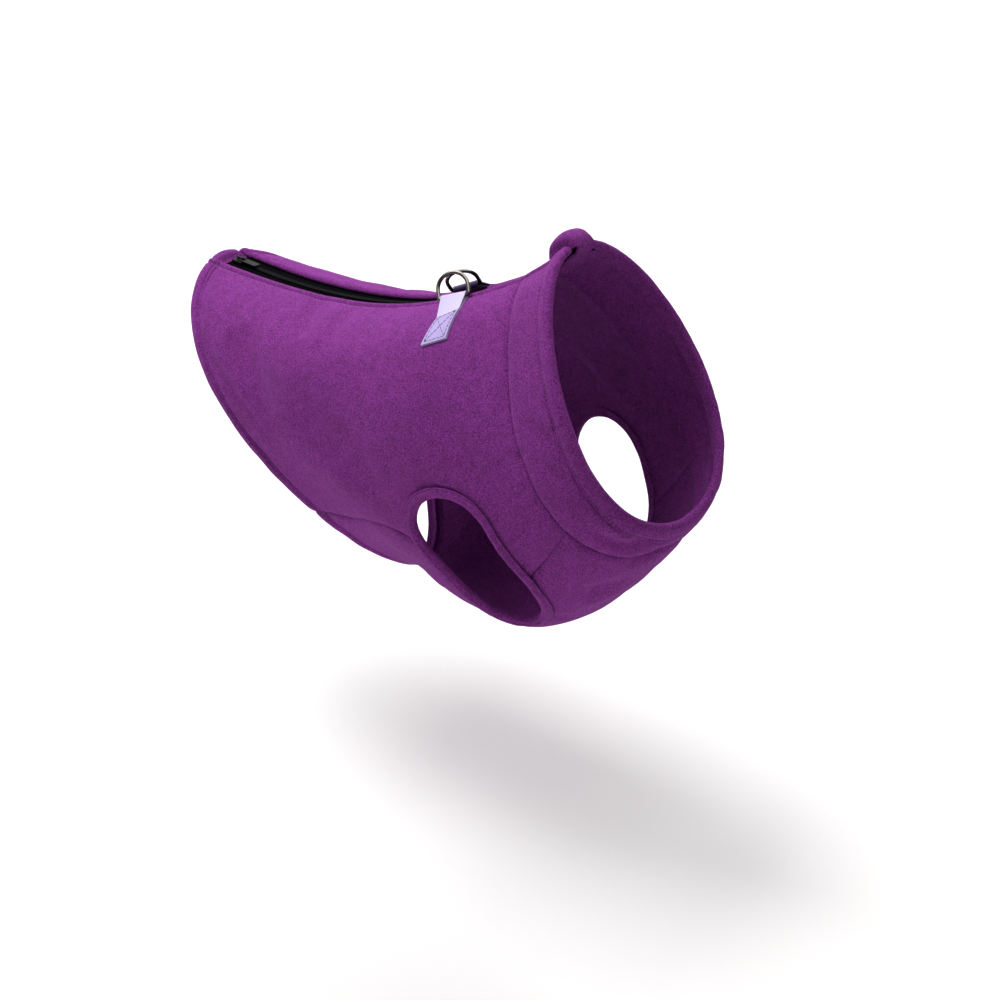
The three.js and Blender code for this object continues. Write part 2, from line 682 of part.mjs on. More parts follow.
// Wire bent to a D: a straight bar, short sides and a round bow
function dRing(ring) {
  const { bar, way, stand, flat } = ringFrame(ring);
  const half = RING_WIDE / 2;
  const corner = RING_CORNER;
  const sides = RING_SIDES;
  const steps = RING_STEPS;
  const sideTall = RING_TALL - half;
  const outline = new THREE.Path();
  outline.moveTo(-half + corner, 0);
  outline.lineTo(half - corner, 0);
  outline.absarc(half - corner, corner, corner, -Math.PI / 2, 0, false);
  outline.lineTo(half, sideTall);
  outline.absarc(0, sideTall, half, 0, Math.PI, false);
  outline.lineTo(-half, corner);
  outline.absarc(-half + corner, corner, corner, Math.PI, Math.PI * 1.5, false);
  const path = outline.getSpacedPoints(steps).slice(0, steps);
  const at = (p) => bar.clone().addScaledVector(way, p.x).addScaledVector(stand, p.y);
  const points = path.flatMap((p, i) => {
    const next = path[(i + 1) % steps];
    const last = path[(i + steps - 1) % steps];
    const run = at(next).sub(at(last)).normalize();
    const across = run.clone().cross(flat);
    return Array.from({ length: sides }, (_, k) => {
      const turn = (2 * Math.PI * k) / sides;
      const out = at(p).addScaledVector(across, WIRE * Math.cos(turn));
      return out.addScaledVector(flat, WIRE * Math.sin(turn));
    });
  });
  const index = [];
  for (let i = 0; i < steps; i += 1) {
    for (let k = 0; k < sides; k += 1) {
      const a = i * sides + k;
      const b = i * sides + ((k + 1) % sides);
      const c = ((i + 1) % steps) * sides + ((k + 1) % sides);
      const d = ((i + 1) % steps) * sides + k;
      index.push(a, b, c, a, c, d);
    }
  }
  return closedGeometry(points, index);
}

// Webbing: two layers sewn on the panel, then a loop round the ring's bar
function webbing(ring) {
  const { bar, way } = ringFrame(ring);
  const lower = CLEAR + WEB_LIFT + WEB_WALL / 2;
  const upper = lower + WEB_WALL + WEB_AIR;
  const sewn = (part, across, lift) => {
    const rear = lerp(ring.webEnd.rear, ring.webStitch.rear, part);
    const front = lerp(ring.webEnd.front, ring.webStitch.front, part);
    const angleRear = lerp(ring.webEnd.angleRear, ring.webStitch.angleRear, part);
    const angleFront = lerp(ring.webEnd.angleFront, ring.webStitch.angleFront, part);
    return onCloth(lerp(rear, front, across), rad(lerp(angleRear, angleFront, across)), lift);
  };
  const loopRadius = WIRE + LOOP_AIR + WEB_WALL / 2;
  const loop = (across, turn) => {
    const foot = sewn(1, across, (lower + upper) / 2);
    const middle = bar.clone().addScaledVector(way, lerp(-LOOP_HALF, LOOP_HALF, across));
    const out = middle.clone().sub(foot);
    out.addScaledVector(way, -out.dot(way)).normalize();
    const up = out.clone().cross(way).normalize();
    if (up.dot(outward(ring.webStitch.rear, rad(ring.webStitch.angleRear))) < 0) up.negate();
    const spot = middle.addScaledVector(out, loopRadius * Math.sin(turn));
    return spot.addScaledVector(up, -loopRadius * Math.cos(turn));
  };
  const parts = [0, 0.25, 0.5, 0.75, 1];
  const turns = [-20, 0, 30, 60, 90, 120, 150, 180, 200].map(rad);
  const acrosses = [0, 0.25, 0.5, 0.75, 1];
  const rows = [
    ...parts.map((part) => acrosses.map((a) => sewn(part, a, lower))),
    ...turns.map((turn) => acrosses.map((a) => loop(a, turn))),
    ...parts.slice().reverse().map((part) => acrosses.map((a) => sewn(part, a, upper))),
  ];
  return strip(rows, WEB_WALL);
}

// The coat
const fleece = () => new THREE.MeshStandardMaterial({ color: 0x6f3178, roughness: 0.95, metalness: 0 });
const blackTape = () => new THREE.MeshStandardMaterial({ color: 0x101014, roughness: 0.8, metalness: 0 });
const blackPaint = () => new THREE.MeshStandardMaterial({ color: 0x0c0c0e, roughness: 0.4, metalness: 0.5 });
const lilacWeb = () => new THREE.MeshStandardMaterial({ color: 0xd8cde6, roughness: 0.6, metalness: 0 });
const violetWeb = () => new THREE.MeshStandardMaterial({ color: 0x3a2352, roughness: 0.7, metalness: 0 });
const darkNickel = () => new THREE.MeshStandardMaterial({ color: 0x4c4a48, roughness: 0.25, metalness: 1 });

const coat = new THREE.Group();

function add(name, geometry, material) {
  const mesh = new THREE.Mesh(geometry, material);
  mesh.name = name;
  coat.add(mesh);
  return mesh;
}

add('side_right', sidePanel(1), fleece());
add('side_left', sidePanel(-1), fleece());
add('underside', underside(), fleece());
add('collar', collar(), fleece());
add('neck_binding', neckBinding(), fleece());
add('armhole_binding_right', armBinding(false), fleece());
add('armhole_binding_left', armBinding(true), fleece());
add('underlap', underlap(), fleece());
add('zip_garage', zipGarage(), fleece());
add('zip_tape_right', zipTape(1), blackTape());
add('zip_tape_left', zipTape(-1), blackTape());
add('zip_coil', zipCoil(), blackTape());

const sliderSeat = zipFrame(SLIDER_ALONG, COIL_TOP);
add('zip_slider', zipSlider(), blackPaint()).applyMatrix4(sliderSeat);
const pullHeight = CLEAR + SLIDER.roof + PULL_AIR + PULL.wall / 2;
const pullSeat = sliderSeat.clone().multiply(new THREE.Matrix4().makeTranslation(0, 0, pullHeight));
add('zip_pull', pullTab(), blackPaint()).applyMatrix4(pullSeat);

add('ring_tape_right', webbing(RING_RIGHT), lilacWeb());
add('ring_tape_left', webbing(RING_LEFT), violetWeb());
add('d_ring_right', dRing(RING_RIGHT), darkNickel());
add('d_ring_left', dRing(RING_LEFT), darkNickel());

export default coat;
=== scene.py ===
"""Looks of a fleece dog coat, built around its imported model.

Metres; +X to the head, +Y to the wearer's left, +Z up.
"""

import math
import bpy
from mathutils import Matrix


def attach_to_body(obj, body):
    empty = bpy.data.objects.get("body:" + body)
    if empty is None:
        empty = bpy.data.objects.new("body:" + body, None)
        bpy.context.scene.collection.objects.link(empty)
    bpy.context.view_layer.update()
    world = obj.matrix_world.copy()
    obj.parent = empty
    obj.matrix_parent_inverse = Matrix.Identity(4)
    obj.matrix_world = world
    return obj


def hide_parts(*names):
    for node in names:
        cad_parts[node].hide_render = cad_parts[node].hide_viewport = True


bl_info = {
    "name": "Fleece dog coat",
    "version": (1, 0, 0),
    "blender": (4, 5, 0),
    "location": "View3D > Sidebar > Dog coat",
    "description": "Sewn panels, bindings, zip, webbing and rings of a fleece dog coat",
    "category": "Object",
}

import bmesh
import bpy
import numpy as np
from bpy.props import FloatProperty, FloatVectorProperty, PointerProperty
from mathutils import Matrix, Vector

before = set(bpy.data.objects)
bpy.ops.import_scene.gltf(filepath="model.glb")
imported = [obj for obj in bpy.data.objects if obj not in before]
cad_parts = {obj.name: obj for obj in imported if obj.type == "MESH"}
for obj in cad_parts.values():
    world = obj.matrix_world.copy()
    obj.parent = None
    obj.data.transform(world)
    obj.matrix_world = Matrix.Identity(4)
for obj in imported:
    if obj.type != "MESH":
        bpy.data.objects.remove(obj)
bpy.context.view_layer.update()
BODY = "coat"
MM = 0.001

# The body form, as in the frame: millimetres for each slanted section from the hem (0) to the neck edge (1).
# along, back x, back z, belly x, belly z, half width, egg, flat
SECTIONS = (
    (0.0, -263, -17, -45, -238, 86, 0.2, -0.1),
    (0.25, -167, -21, 17, -225, 91, 0.3, 0.14),
    (0.5, -67, -12, 85, -229, 97, 0.12, 0.22),
    (0.7, 13, 11, 147, -209, 94, 0.0, 0.16),
    (0.85, 73, 41, 206, -139, 80, -0.24, 0.04),
    (1.0, 119, 73, 222, -105, 76, -0.14, 0.06),
)
# along, half the distance between the fleece edges beside the zip
ZIP_OPENING = ((0.0, 15), (0.1, 13.8), (0.3, 13.4), (0.5, 12.6), (0.7, 10.8), (1.0, 10.5))
# degrees round the section, along
COLLAR_SEAM = (
    (0, 0.863), (40, 0.858), (60, 0.848), (80, 0.837),
    (122, 0.836), (142, 0.845), (160, 0.857), (180, 0.875),
)
# along, degrees
BELLY_SEAM = ((0.0, 121), (0.16, 118), (0.3, 112.5), (0.42, 107), (0.56, 102.5))
# degrees round the armhole's middle (0 toward the head, 90 down), reach in mm
ARM_EDGE = (
    (-180, 25), (-158, 31), (-140, 46), (-120, 53), (-96, 58), (-72, 54), (-48, 39), (-20, 28.5),
    (10, 27.5), (35, 33), (60, 47), (80, 63), (96, 62), (115, 41), (140, 26.5), (180, 25),
)
ARM_ALONG, ARM_ANGLE = 0.665, 118
ALONG_TO_MM, ANGLE_TO_MM = 400, 2.05
ARM_REAR, ARM_FRONT = -146, 42
CHEST_TOP = 123
FLEECE, FOLDED, EDGE_INSIDE = 2.0, 4.0, 2.6
HEM_TURN, ZIP_TURN = 12, 8
SEAM_HALF = -0.15  # the sewn edges meet and press into each other

# Folds of the worn cloth. Each: height in mm (- is a trough), width in mm, and the places that it runs
# through (along, degrees; + is the wearer's right). The left side's are of the same kind as the right side's.
FOLDS = (
    (-8.0, 17, ((0.185, 36), (0.215, 47), (0.245, 60), (0.25, 74))),
    (-2.4, 5, ((0.07, 48), (0.087, 59), (0.115, 66), (0.139, 73), (0.15, 86))),
    (2.2, 7, ((0.115, 50), (0.135, 60), (0.165, 68), (0.19, 76))),
    (-3.6, 8, ((0.355, 9), (0.376, 22), (0.39, 33))),
    (2.6, 9, ((0.415, 10), (0.433, 24), (0.44, 38))),
    (-2.9, 7, ((0.453, 9), (0.464, 21), (0.47, 32))),
    (-2.8, 16, ((0.33, 60), (0.42, 72), (0.5, 82), (0.56, 92))),
    (2.2, 14, ((0.25, 78), (0.36, 88), (0.46, 96))),
    (-3.2, 8, ((0.22, 140), (0.33, 132), (0.44, 124), (0.53, 116))),
    (2.2, 9, ((0.25, 152), (0.36, 144), (0.47, 134))),
    (-2.9, 10, ((0.3, 168), (0.4, 158), (0.5, 150))),
    (-2.6, 9, ((0.70, 60), (0.735, 74), (0.76, 88), (0.775, 100))),
    (2.0, 10, ((0.665, 50), (0.69, 64), (0.71, 76))),
    (-1.8, 4.5, ((0.875, 84), (0.9, 90), (0.925, 97), (0.94, 106))),
    (-1.5, 4, ((0.868, 98), (0.895, 104), (0.92, 111))),
    (1.4, 4.5, ((0.872, 91), (0.9, 98), (0.928, 104))),
    (-3.6, 7, ((0.884, 128), (0.886, 140), (0.897, 150), (0.93, 158))),
    (2.4, 7, ((0.91, 130), (0.915, 142), (0.925, 152))),
    (-4.0, 6, ((0.85, 156), (0.856, 162), (0.875, 170), (0.903, 177))),
    (-2.8, 8, ((0.76, 150), (0.79, 158), (0.82, 166))),
    (2.0, 9, ((0.73, 156), (0.77, 166), (0.8, 176))),
    (-2.4, 6, ((0.7, 150), (0.705, 160), (0.7, 170))),
    (-5.2, 18, ((0.22, -34), (0.25, -44), (0.26, -60))),
    (-2.2, 6, ((0.09, -44), (0.1, -58), (0.13, -70), (0.15, -84))),
    (1.9, 7, ((0.14, -48), (0.16, -62), (0.2, -76))),
    (-3.1, 8, ((0.4, -10), (0.41, -24), (0.43, -36))),
    (2.2, 9, ((0.46, -12), (0.48, -27), (0.49, -38))),
    (-3.0, 15, ((0.3, -64), (0.4, -74), (0.5, -86), (0.57, -96))),
    (2.1, 13, ((0.23, -80), (0.34, -92), (0.44, -99))),
    (-2.5, 9, ((0.69, -56), (0.73, -70), (0.755, -86), (0.77, -98))),
    (-3.3, 8, ((0.2, -142), (0.31, -134), (0.42, -126), (0.52, -117))),
    (2.0, 8, ((0.27, -154), (0.38, -146), (0.46, -137))),
    (-2.7, 9, ((0.33, -172), (0.42, -162), (0.49, -153))),
    (-1.9, 5, ((0.87, -80), (0.9, -88), (0.93, -97))),
    (-3.3, 7, ((0.88, -126), (0.888, -140), (0.905, -152))),
    (2.1, 7, ((0.915, -128), (0.92, -142), (0.93, -154))),
    (-3.4, 6, ((0.848, -154), (0.86, -163), (0.885, -172))),
    (-2.8, 8, ((0.75, -148), (0.785, -157), (0.815, -167))),
)


def linear(hex_colour):
    """The linear red, green and blue of an sRGB hex colour."""
    parts = [int(hex_colour[i : i + 2], 16) / 255 for i in (1, 3, 5)]
    return tuple(p / 12.92 if p <= 0.04045 else ((p + 0.055) / 1.055) ** 2.4 for p in parts)


def colour(name, description, hex_colour):
    return FloatVectorProperty(
        name=name, description=description, default=linear(hex_colour), subtype="COLOR", size=3, min=0, max=1
    )


def length(name, description, mm):
    return FloatProperty(name=name, description=description, default=mm * MM, min=0, unit="LENGTH")


class CoatSizes(bpy.types.PropertyGroup):
    hem_row_near: length("Hem row, outer", "From the hem's fold to the outer row of stitches", 10.5)
    hem_row_far: length("Hem row, inner", "From the hem's fold to the inner row of stitches", 14.5)
    zip_row: length("Zip row", "From the fleece's edge beside the zip to its row of stitches", 7)
    stitch: length("Stitch", "Distance from one stitch to the next", 3.2)
    thread: length("Thread", "Thickness of the sewing thread", 0.45)
    neck_binding: length("Neck binding", "Width of the strip on the neck edge", 12)
    arm_binding: length("Armhole binding", "Width of the strip on the armhole edges", 8.5)
    puff: length("Puff", "How far a binding's middle stands proud", 0.9)
    tooth: length("Tooth pitch", "Distance from one zip tooth to the next", 1.5)
    wave: length("Unevenness", "Height of the cloth's soft unevenness", 0.5)


class CoatColours(bpy.types.PropertyGroup):
    fleece: colour("Fleece", "Fleece pile where light reaches it", "#8D3B95")
    fleece_deep: colour("Fleece, deep", "Fleece between the tufts of its pile", "#532056")
    fleece_sheen: colour("Fleece sheen", "Pale light on the tips of the pile", "#D58FE0")
    zip_tape: colour("Zip tape", "Woven zip tape", "#0E0D11")
    zip_coil: colour("Zip coil", "Nylon teeth", "#0C0B0E")
    enamel: colour("Slider enamel", "Enamel on the slider and pull", "#0C0C0E")
    web_pale: colour("Pale webbing", "Satin face of the pale webbing", "#E4DCF1")
    web_pale_deep: colour("Pale webbing, deep", "Between the pale webbing's threads", "#A18FCB")
    web_dark: colour("Dark webbing", "Dark violet webbing", "#3A2454")
    thread: colour("Dark thread", "Thread of the webbing's box seam", "#4B2C6B")
    ring: colour("Ring metal", "Dark nickel plate", "#5A5654")
    floor: colour("Floor", "Floor and backdrop", "#F0EFEE")


# The surface


def curve_through(x, y):
    """Natural cubic through points, as a function of an array."""
    x, y = np.asarray(x, float), np.asarray(y, float)
    n, h = len(x), np.diff(x)
    left, right = np.zeros((n, n)), np.zeros(n)
    left[0, 0] = left[-1, -1] = 1
    for i in range(1, n - 1):
        left[i, i - 1 : i + 2] = h[i - 1], 2 * (h[i - 1] + h[i]), h[i]
        right[i] = 6 * ((y[i + 1] - y[i]) / h[i] - (y[i] - y[i - 1]) / h[i - 1])
    bend = np.linalg.solve(left, right)

    def at(v):
        v = np.asarray(v, float)
        i = np.clip(np.searchsorted(x, v, side="left") - 1, 0, n - 2)
        b = (v - x[i]) / h[i]
        a = 1 - b
        return a * y[i] + b * y[i + 1] + ((a**3 - a) * bend[i] + (b**3 - b) * bend[i + 1]) * h[i] ** 2 / 6

    return at


def columns(table):
    return list(zip(*table))


SECTION_CURVES = [curve_through(columns(SECTIONS)[0], c) for c in columns(SECTIONS)[1:]]
zip_half = curve_through(*columns(ZIP_OPENING))
seam_along = curve_through(*columns(COLLAR_SEAM))
belly_angle = curve_through(*columns(BELLY_SEAM))
arm_reach = curve_through(*columns(ARM_EDGE))


def face(along, angle):
    """Points on the coat's outer face, in mm. The angle is 0 on the zip and grows down the right side."""
    along, angle = np.broadcast_arrays(np.asarray(along, float), np.asarray(angle, float))
    back_x, back_z, belly_x, belly_z, half, egg, flat = (c(along) for c in SECTION_CURVES)
    c = np.cos(angle)
    down = (1 - c) / 2
    side = half * np.sin(angle) * (1 + egg * c + flat * c * c)
    return np.stack([back_x + (belly_x - back_x) * down, -side, back_z + (belly_z - back_z) * down], -1)


def slopes(along, angle):
    h = 0.001
    headward = (face(along + h, angle) - face(along - h, angle)) / (2 * h)
    downward = (face(along, angle + h) - face(along, angle - h)) / (2 * h)
    return headward, downward


def unit(v):
    return v / np.maximum(np.linalg.norm(v, axis=-1, keepdims=True), 1e-12)


def outward(along, angle):
    headward, downward = slopes(along, angle)
    return unit(np.cross(downward, headward))


def smoothstep(low, high, v):
    t = np.clip((v - low) / (high - low), 0, 1)
    return t * t * (3 - 2 * t)


def uneven(points, size, seed):
    """Soft unevenness from -1 to 1 about this many mm from one rise to the next."""
    rng = np.random.default_rng(seed)
    total = np.zeros(points.shape[:-1])
    waves = 14
    for _ in range(waves):
        way = unit(rng.normal(size=3)) * 2 * math.pi / (size * rng.uniform(0.7, 1.6))
        total += np.sin(points @ way + rng.uniform(0, 2 * math.pi))
    return total / math.sqrt(waves * 2)


def fold_paths():
    paths = []
    for height, width, places in FOLDS:
        places = np.array(places, float)
        steps = np.arange(len(places))
        fine = np.linspace(0, len(places) - 1, 6 * len(places))
        along = curve_through(steps, places[:, 0])(fine)
        angle = np.radians(curve_through(steps, places[:, 1])(fine))
        paths.append((height, width, face(along, angle)))
    return paths


FOLD_PATHS = fold_paths()


def relief(points):
    """Height of folds and unevenness at points of the outer face, in mm. It fades out beside the zip."""
    flat = points.reshape(-1, 3)
    total = np.zeros(len(flat))
    for height, width, path in FOLD_PATHS:
        near = np.linalg.norm(flat - path.mean(0), axis=1) < 3 * width + np.ptp(path, axis=0).max()
        if not near.any():
            continue
        p = flat[near]
        best = np.full(len(p), 1e9)
        share = np.zeros(len(p))
        for k in range(len(path) - 1):
            a, run = path[k], path[k + 1] - path[k]
            t = np.clip((p - a) @ run / (run @ run), 0, 1)
            d = np.linalg.norm(p - a - t[:, None] * run, axis=1)
            share = np.where(d < best, (k + t) / (len(path) - 1), share)
            best = np.minimum(best, d)
        fade = np.sin(math.pi * np.clip(share, 0.04, 0.96)) ** 0.8
        total[near] += height * fade * np.exp(-((best / width) ** 2))
    sizes = bpy.context.scene.coat_sizes
    total += sizes.wave / MM * (1.3 * uneven(flat, 70, 3) + 0.7 * uneven(flat, 26, 4))
    beside_zip = smoothstep(9, 26, np.abs(flat[:, 1]) + 60 * (flat[:, 2] < -80))
    return (total * beside_zip).reshape(points.shape[:-1])


def on_cloth(along, angle, lift):
    """Points at a height above (+) or below (-) the draped outer face."""
    points = face(along, angle)
    height = relief(points) + lift
    return points + outward(along, angle) * height[..., None]


def angle_at(along, y):
    """Angle at which the outer face is y mm to the right of the zip line."""
    angle = np.zeros(np.broadcast(along, y).shape)
    for _ in range(8):
        off = -face(along, angle)[..., 1] - y
        angle = angle + off / slopes(along, angle)[1][..., 1]
    return angle


def moved(along, angle, direction, mm):
    """Places this many mm away in directions given in space."""
    headward, downward = slopes(along, angle)
    a, b, c = ((u * v).sum(-1) for u, v in ((headward, headward), (headward, downward), (downward, downward)))
    p = (headward * direction).sum(-1) * mm
    q = (downward * direction).sum(-1) * mm
    det = a * c - b * b
    return along + (p * c - q * b) / det, angle + (q * a - p * b) / det


def square_to_edge(along, angle, rough, closed=False):
    """Unit directions in the cloth, square to an edge, on the side of the rough direction."""
    points = face(along, angle)
    if closed:
        run = np.roll(points, -1, 0) - np.roll(points, 1, 0)
    else:
        run = np.gradient(points, axis=0)
    square = unit(np.cross(unit(run), outward(along, angle)))
    return square * np.sign((square * rough).sum(-1, keepdims=True))


# Edges of the panels, as in the frame but with finer steps


def arm_place(turn):
    reach = arm_reach((turn + 180) % 360 - 180)
    along = ARM_ALONG + reach * np.cos(np.radians(turn)) / ALONG_TO_MM
    return along, np.radians(ARM_ANGLE + reach * np.sin(np.radians(turn)) / ANGLE_TO_MM)


def away_from_arm(along, angle):
    return face(along, angle) - face(ARM_ALONG, math.radians(ARM_ANGLE))


def cut_edge(start, end, steps):
    along, angle = arm_place(np.linspace(start, end, steps + 1))
    out = square_to_edge(along, angle, away_from_arm(along, angle))
    return moved(along, angle, out, EDGE_INSIDE)


# mm from the hem and from the fleece's edge beside the zip, closer together at the rows of stitches
HEM_STEPS = (
    0, 0.15, 0.5, 1.1, 2, 3.5, 5.5, 8, 9.5, 10.1,
    10.5, 10.9, 11.6, 12.6, 13.8, 14.2, 14.5, 14.8, 15.5, 17, 19,
)
ZIP_STEPS = (0, 0.15, 0.5, 1.1, 2, 3.5, 5, 6.2, 6.7, 7, 7.3, 7.8, 9, 11)


def panel_edge(lower, arc_steps, belly_steps=70, chest_steps=14):
    arc_along, arc_angle = cut_edge(ARM_REAR, ARM_FRONT - 360 if lower else ARM_FRONT, arc_steps)
    belly = np.array(HEM_STEPS) / ALONG_TO_MM
    belly = np.append(belly, np.linspace(belly[-1], arc_along[0], belly_steps)[1:-1])
    blend = np.maximum(0, (belly / arc_along[0] - 0.75) / 0.25)
    low = np.radians(belly_angle(belly)) * (1 - blend) + arc_angle[0] * blend
    end = seam_along(CHEST_TOP), math.radians(CHEST_TOP)
    part = np.append(np.linspace(0, 0.93, chest_steps)[1:], (0.97, 0.99, 1))
    chest_along = arc_along[-1] + (end[0] - arc_along[-1]) * part
    chest_angle = arc_angle[-1] + (end[1] - arc_angle[-1]) * part
    apart = math.radians(SEAM_HALF / ANGLE_TO_MM) * (1 if lower else -1)
    angle = np.concatenate([low + apart, arc_angle, chest_angle + apart])
    angle[len(low)] += apart
    angle[len(low) + len(arc_angle) - 1] += apart
    return np.concatenate([belly, arc_along, chest_along]), angle, len(belly), len(arc_along)


def far_along(edge, rear_along, front_along, end_along, spread):
    along, _, belly, arc = edge
    rear = along[belly]
    first = along[:belly] - (rear - rear_along) * (along[:belly] / rear) ** 2
    middle = rear_along + (front_along - rear_along) * spread(np.linspace(0, 1, arc))
    part = (along[belly + arc :] - along[belly + arc - 1]) / (along[-1] - along[belly + arc - 1])
    return np.concatenate([first, middle, front_along + (end_along - front_along) * part])


def seam_edge(angle, sign):
    along = seam_along(np.degrees(angle))
    return along + sign * SEAM_HALF / np.linalg.norm(slopes(along, angle)[0], axis=-1)


def closing(steps):
    return np.append(1 - (1 - np.arange(steps) / steps) ** 1.3, (0.9988, 1))


def true_from_hem(along, angle):
    """Spreads the lines nearest the hem so that their steps are true millimetres all round."""
    scale = ALONG_TO_MM / np.linalg.norm(slopes(0.0, angle)[0], axis=-1)
    return along * (1 + (scale - 1) * (1 - smoothstep(0.05, 0.3, along)))


def lateness(edge):
    along, _, belly, arc = edge
    late = np.zeros(len(along))
    tail = along[belly + arc - 1 :]
    late[belly + arc - 1 :] = (tail - tail[0]) / (tail[-1] - tail[0])
    return late


def side_places(sign):
    edge = panel_edge(False, 76)
    low_along, low_angle = edge[:2]
    top = far_along(
        edge, 0.455, 0.838, seam_edge(math.radians(5), -1), lambda k: 0.82 * smoothstep(0, 0.65, k) + 0.18 * k
    )
    starts = angle_at(top[:, None], zip_half(top)[:, None] + np.array(ZIP_STEPS)[None])
    shares = closing(72)[1:]
    rest = starts[:, -1:] + (low_angle[:, None] - starts[:, -1:]) * shares
    angle = np.concatenate([starts, rest], 1)
    share = (angle - starts[:, :1]) / (low_angle[:, None] - starts[:, :1])
    along = top[:, None] + (low_along - top)[:, None] * share
    late = lateness(edge)[:, None] ** 2
    along = along + (seam_edge(angle, -1) - along) * late
    return true_from_hem(along, angle), angle * sign, edge


def underside_places():
    edge = panel_edge(True, 84)
    low_along, low_angle = edge[:2]
    middle = far_along(edge, 0.42, 0.79, seam_edge(math.pi, -1), lambda k: k)
    part = 1 - closing(42)[::-1]
    angle = low_angle[:, None] + (math.pi - low_angle[:, None]) * part
    along = low_along[:, None] + (middle - low_along)[:, None] * part
    late = lateness(edge)[:, None] ** 2
    along = true_from_hem(along + (seam_edge(angle, -1) - along) * late, angle)
    other = slice(-2, None, -1)
    return (
        np.concatenate([along, along[:, other]], 1),
        np.concatenate([angle, 2 * math.pi - angle[:, other]], 1),
        edge,
    )


def collar_angles(along, steps=84):
    starts = angle_at(along[:, None], zip_half(along)[:, None] + np.array(ZIP_STEPS)[None])
    rest = starts[:, -1:] + (math.pi - starts[:, -1:]) * np.linspace(0, 1, steps + 1)[1:]
    half = np.concatenate([starts, rest], 1)
    return np.concatenate([half, 2 * math.pi - half[:, -2::-1]], 1)


def collar_places():
    rim = collar_angles(np.array([1.0]))[0]
    folded = np.where(rim > math.pi, 2 * math.pi - rim, rim)
    start = seam_edge(folded, 1)
    end = 1 - EDGE_INSIDE / np.linalg.norm(slopes(1, rim)[0], axis=-1)
    part = np.concatenate([(0, 0.004, 0.012, 0.025, 0.045), np.linspace(0.07, 0.99, 36), (1,)])
    along = start[:, None] + (end - start)[:, None] * part
    angle = np.stack([np.diag(collar_angles(along[:, j])) for j in range(len(part))], 1)
    return along, angle


# Meshes


def grid_faces(rows, cols, first, wrap, turned):
    i = np.arange(rows if wrap else rows - 1)[:, None]
    j = np.arange(cols - 1)[None]
    a = first + i * cols + j
    b = first + (i + 1) % rows * cols + j
    quads = np.stack([a, b, b + 1, a + 1], -1).reshape(-1, 4)
    return quads[:, ::-1] if turned else quads


def shell(outer, inner, wrap=False):
    """Points and faces of a closed shell between two grids; a wrapped one closes on itself along its rows."""
    rows, cols = outer.shape[:2]
    n = rows * cols
    faces = [grid_faces(rows, cols, 0, wrap, False), grid_faces(rows, cols, n, wrap, True)]
    i = np.arange(rows if wrap else rows - 1)
    nxt = (i + 1) % rows
    faces.append(np.stack([i * cols, n + i * cols, n + nxt * cols, nxt * cols], -1))
    c = cols - 1
    faces.append(np.stack([i * cols + c, nxt * cols + c, n + nxt * cols + c, n + i * cols + c], -1))
    if not wrap:
        j = np.arange(cols - 1)
        last = (rows - 1) * cols
        faces.append(np.stack([j, j + 1, n + j + 1, n + j], -1))
        faces.append(np.stack([last + j, n + last + j, n + last + j + 1, last + j + 1], -1))
    points = np.concatenate([outer.reshape(-1, 3), inner.reshape(-1, 3)])
    return points, np.concatenate(faces).tolist()


def strip(grid, wall, wrap=False):
    """Shell of even thickness about a grid of points."""
    if wrap:
        u = np.roll(grid, -1, 0) - np.roll(grid, 1, 0)
    else:
        u = np.gradient(grid, axis=0)
    normal = unit(np.cross(u, np.gradient(grid, axis=1)))
    return shell(grid + normal * wall / 2, grid - normal * wall / 2, wrap)


def place(name, points, faces, finish, uv=None, sharp=50):
    """Makes a piece from points in mm; its object stays at the origin."""
    mesh = bpy.data.meshes.new(name)
    mesh.from_pydata((np.asarray(points) * MM).tolist(), [], faces)
    if uv is not None:
        layer = mesh.uv_layers.new(name="UVMap")
        index = np.zeros(len(mesh.loops), np.int32)
        mesh.loops.foreach_get("vertex_index", index)
        layer.data.foreach_set("uv", np.asarray(uv, np.float32)[index].ravel())
    bm = bmesh.new()
    bm.from_mesh(mesh)
    bmesh.ops.remove_doubles(bm, verts=bm.verts, dist=2e-7)
    bmesh.ops.dissolve_degenerate(bm, edges=bm.edges, dist=1e-7)
    if bm.calc_volume(signed=True) < 0:
        bmesh.ops.reverse_faces(bm, faces=bm.faces)
    for f in bm.faces:
        f.smooth = True
    for e in bm.edges:
        e.smooth = len(e.link_faces) == 2 and e.calc_face_angle(0) < math.radians(sharp)
    bm.to_mesh(mesh)
    bm.free()
    mesh.materials.append(finish)
    piece = bpy.data.objects.new(name, mesh)
    bpy.context.scene.collection.objects.link(piece)
    return piece


def attach(piece, slot, *nodes, body=BODY):
    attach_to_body(piece, body)
    if nodes:
        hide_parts(*nodes)
    return piece


def edge_distances(points):
    """Distance of each grid point from the grid's four edges, along its mesh lines."""
    step_i = np.linalg.norm(np.diff(points, axis=0), axis=-1)
    step_j = np.linalg.norm(np.diff(points, axis=1), axis=-1)
    from_i = np.concatenate([np.zeros((1, points.shape[1])), np.cumsum(step_i, 0)])
    from_j = np.concatenate([np.zeros((points.shape[0], 1)), np.cumsum(step_j, 1)], 1)
    return from_i, from_i[-1:] - from_i, from_j, from_j[:, -1:] - from_j


def swell(distance, at, width, height):
    """Soft ridge (+) or trough (-) along a line at this distance from an edge."""
    return height * np.exp(-(((distance - at) / width) ** 2))


def stitched(distance, at):
    """Groove that a row of stitches pulls into the pile, with the cloth puffed up beside it."""
    return swell(distance, at, 1.25, -1.6) + swell(distance, at, 3.2, 0.5)


def rolled(distance, radius):
    return np.sqrt(np.clip(1 - (1 - np.clip(distance / radius, 0, 1)) ** 2, 0, 1))


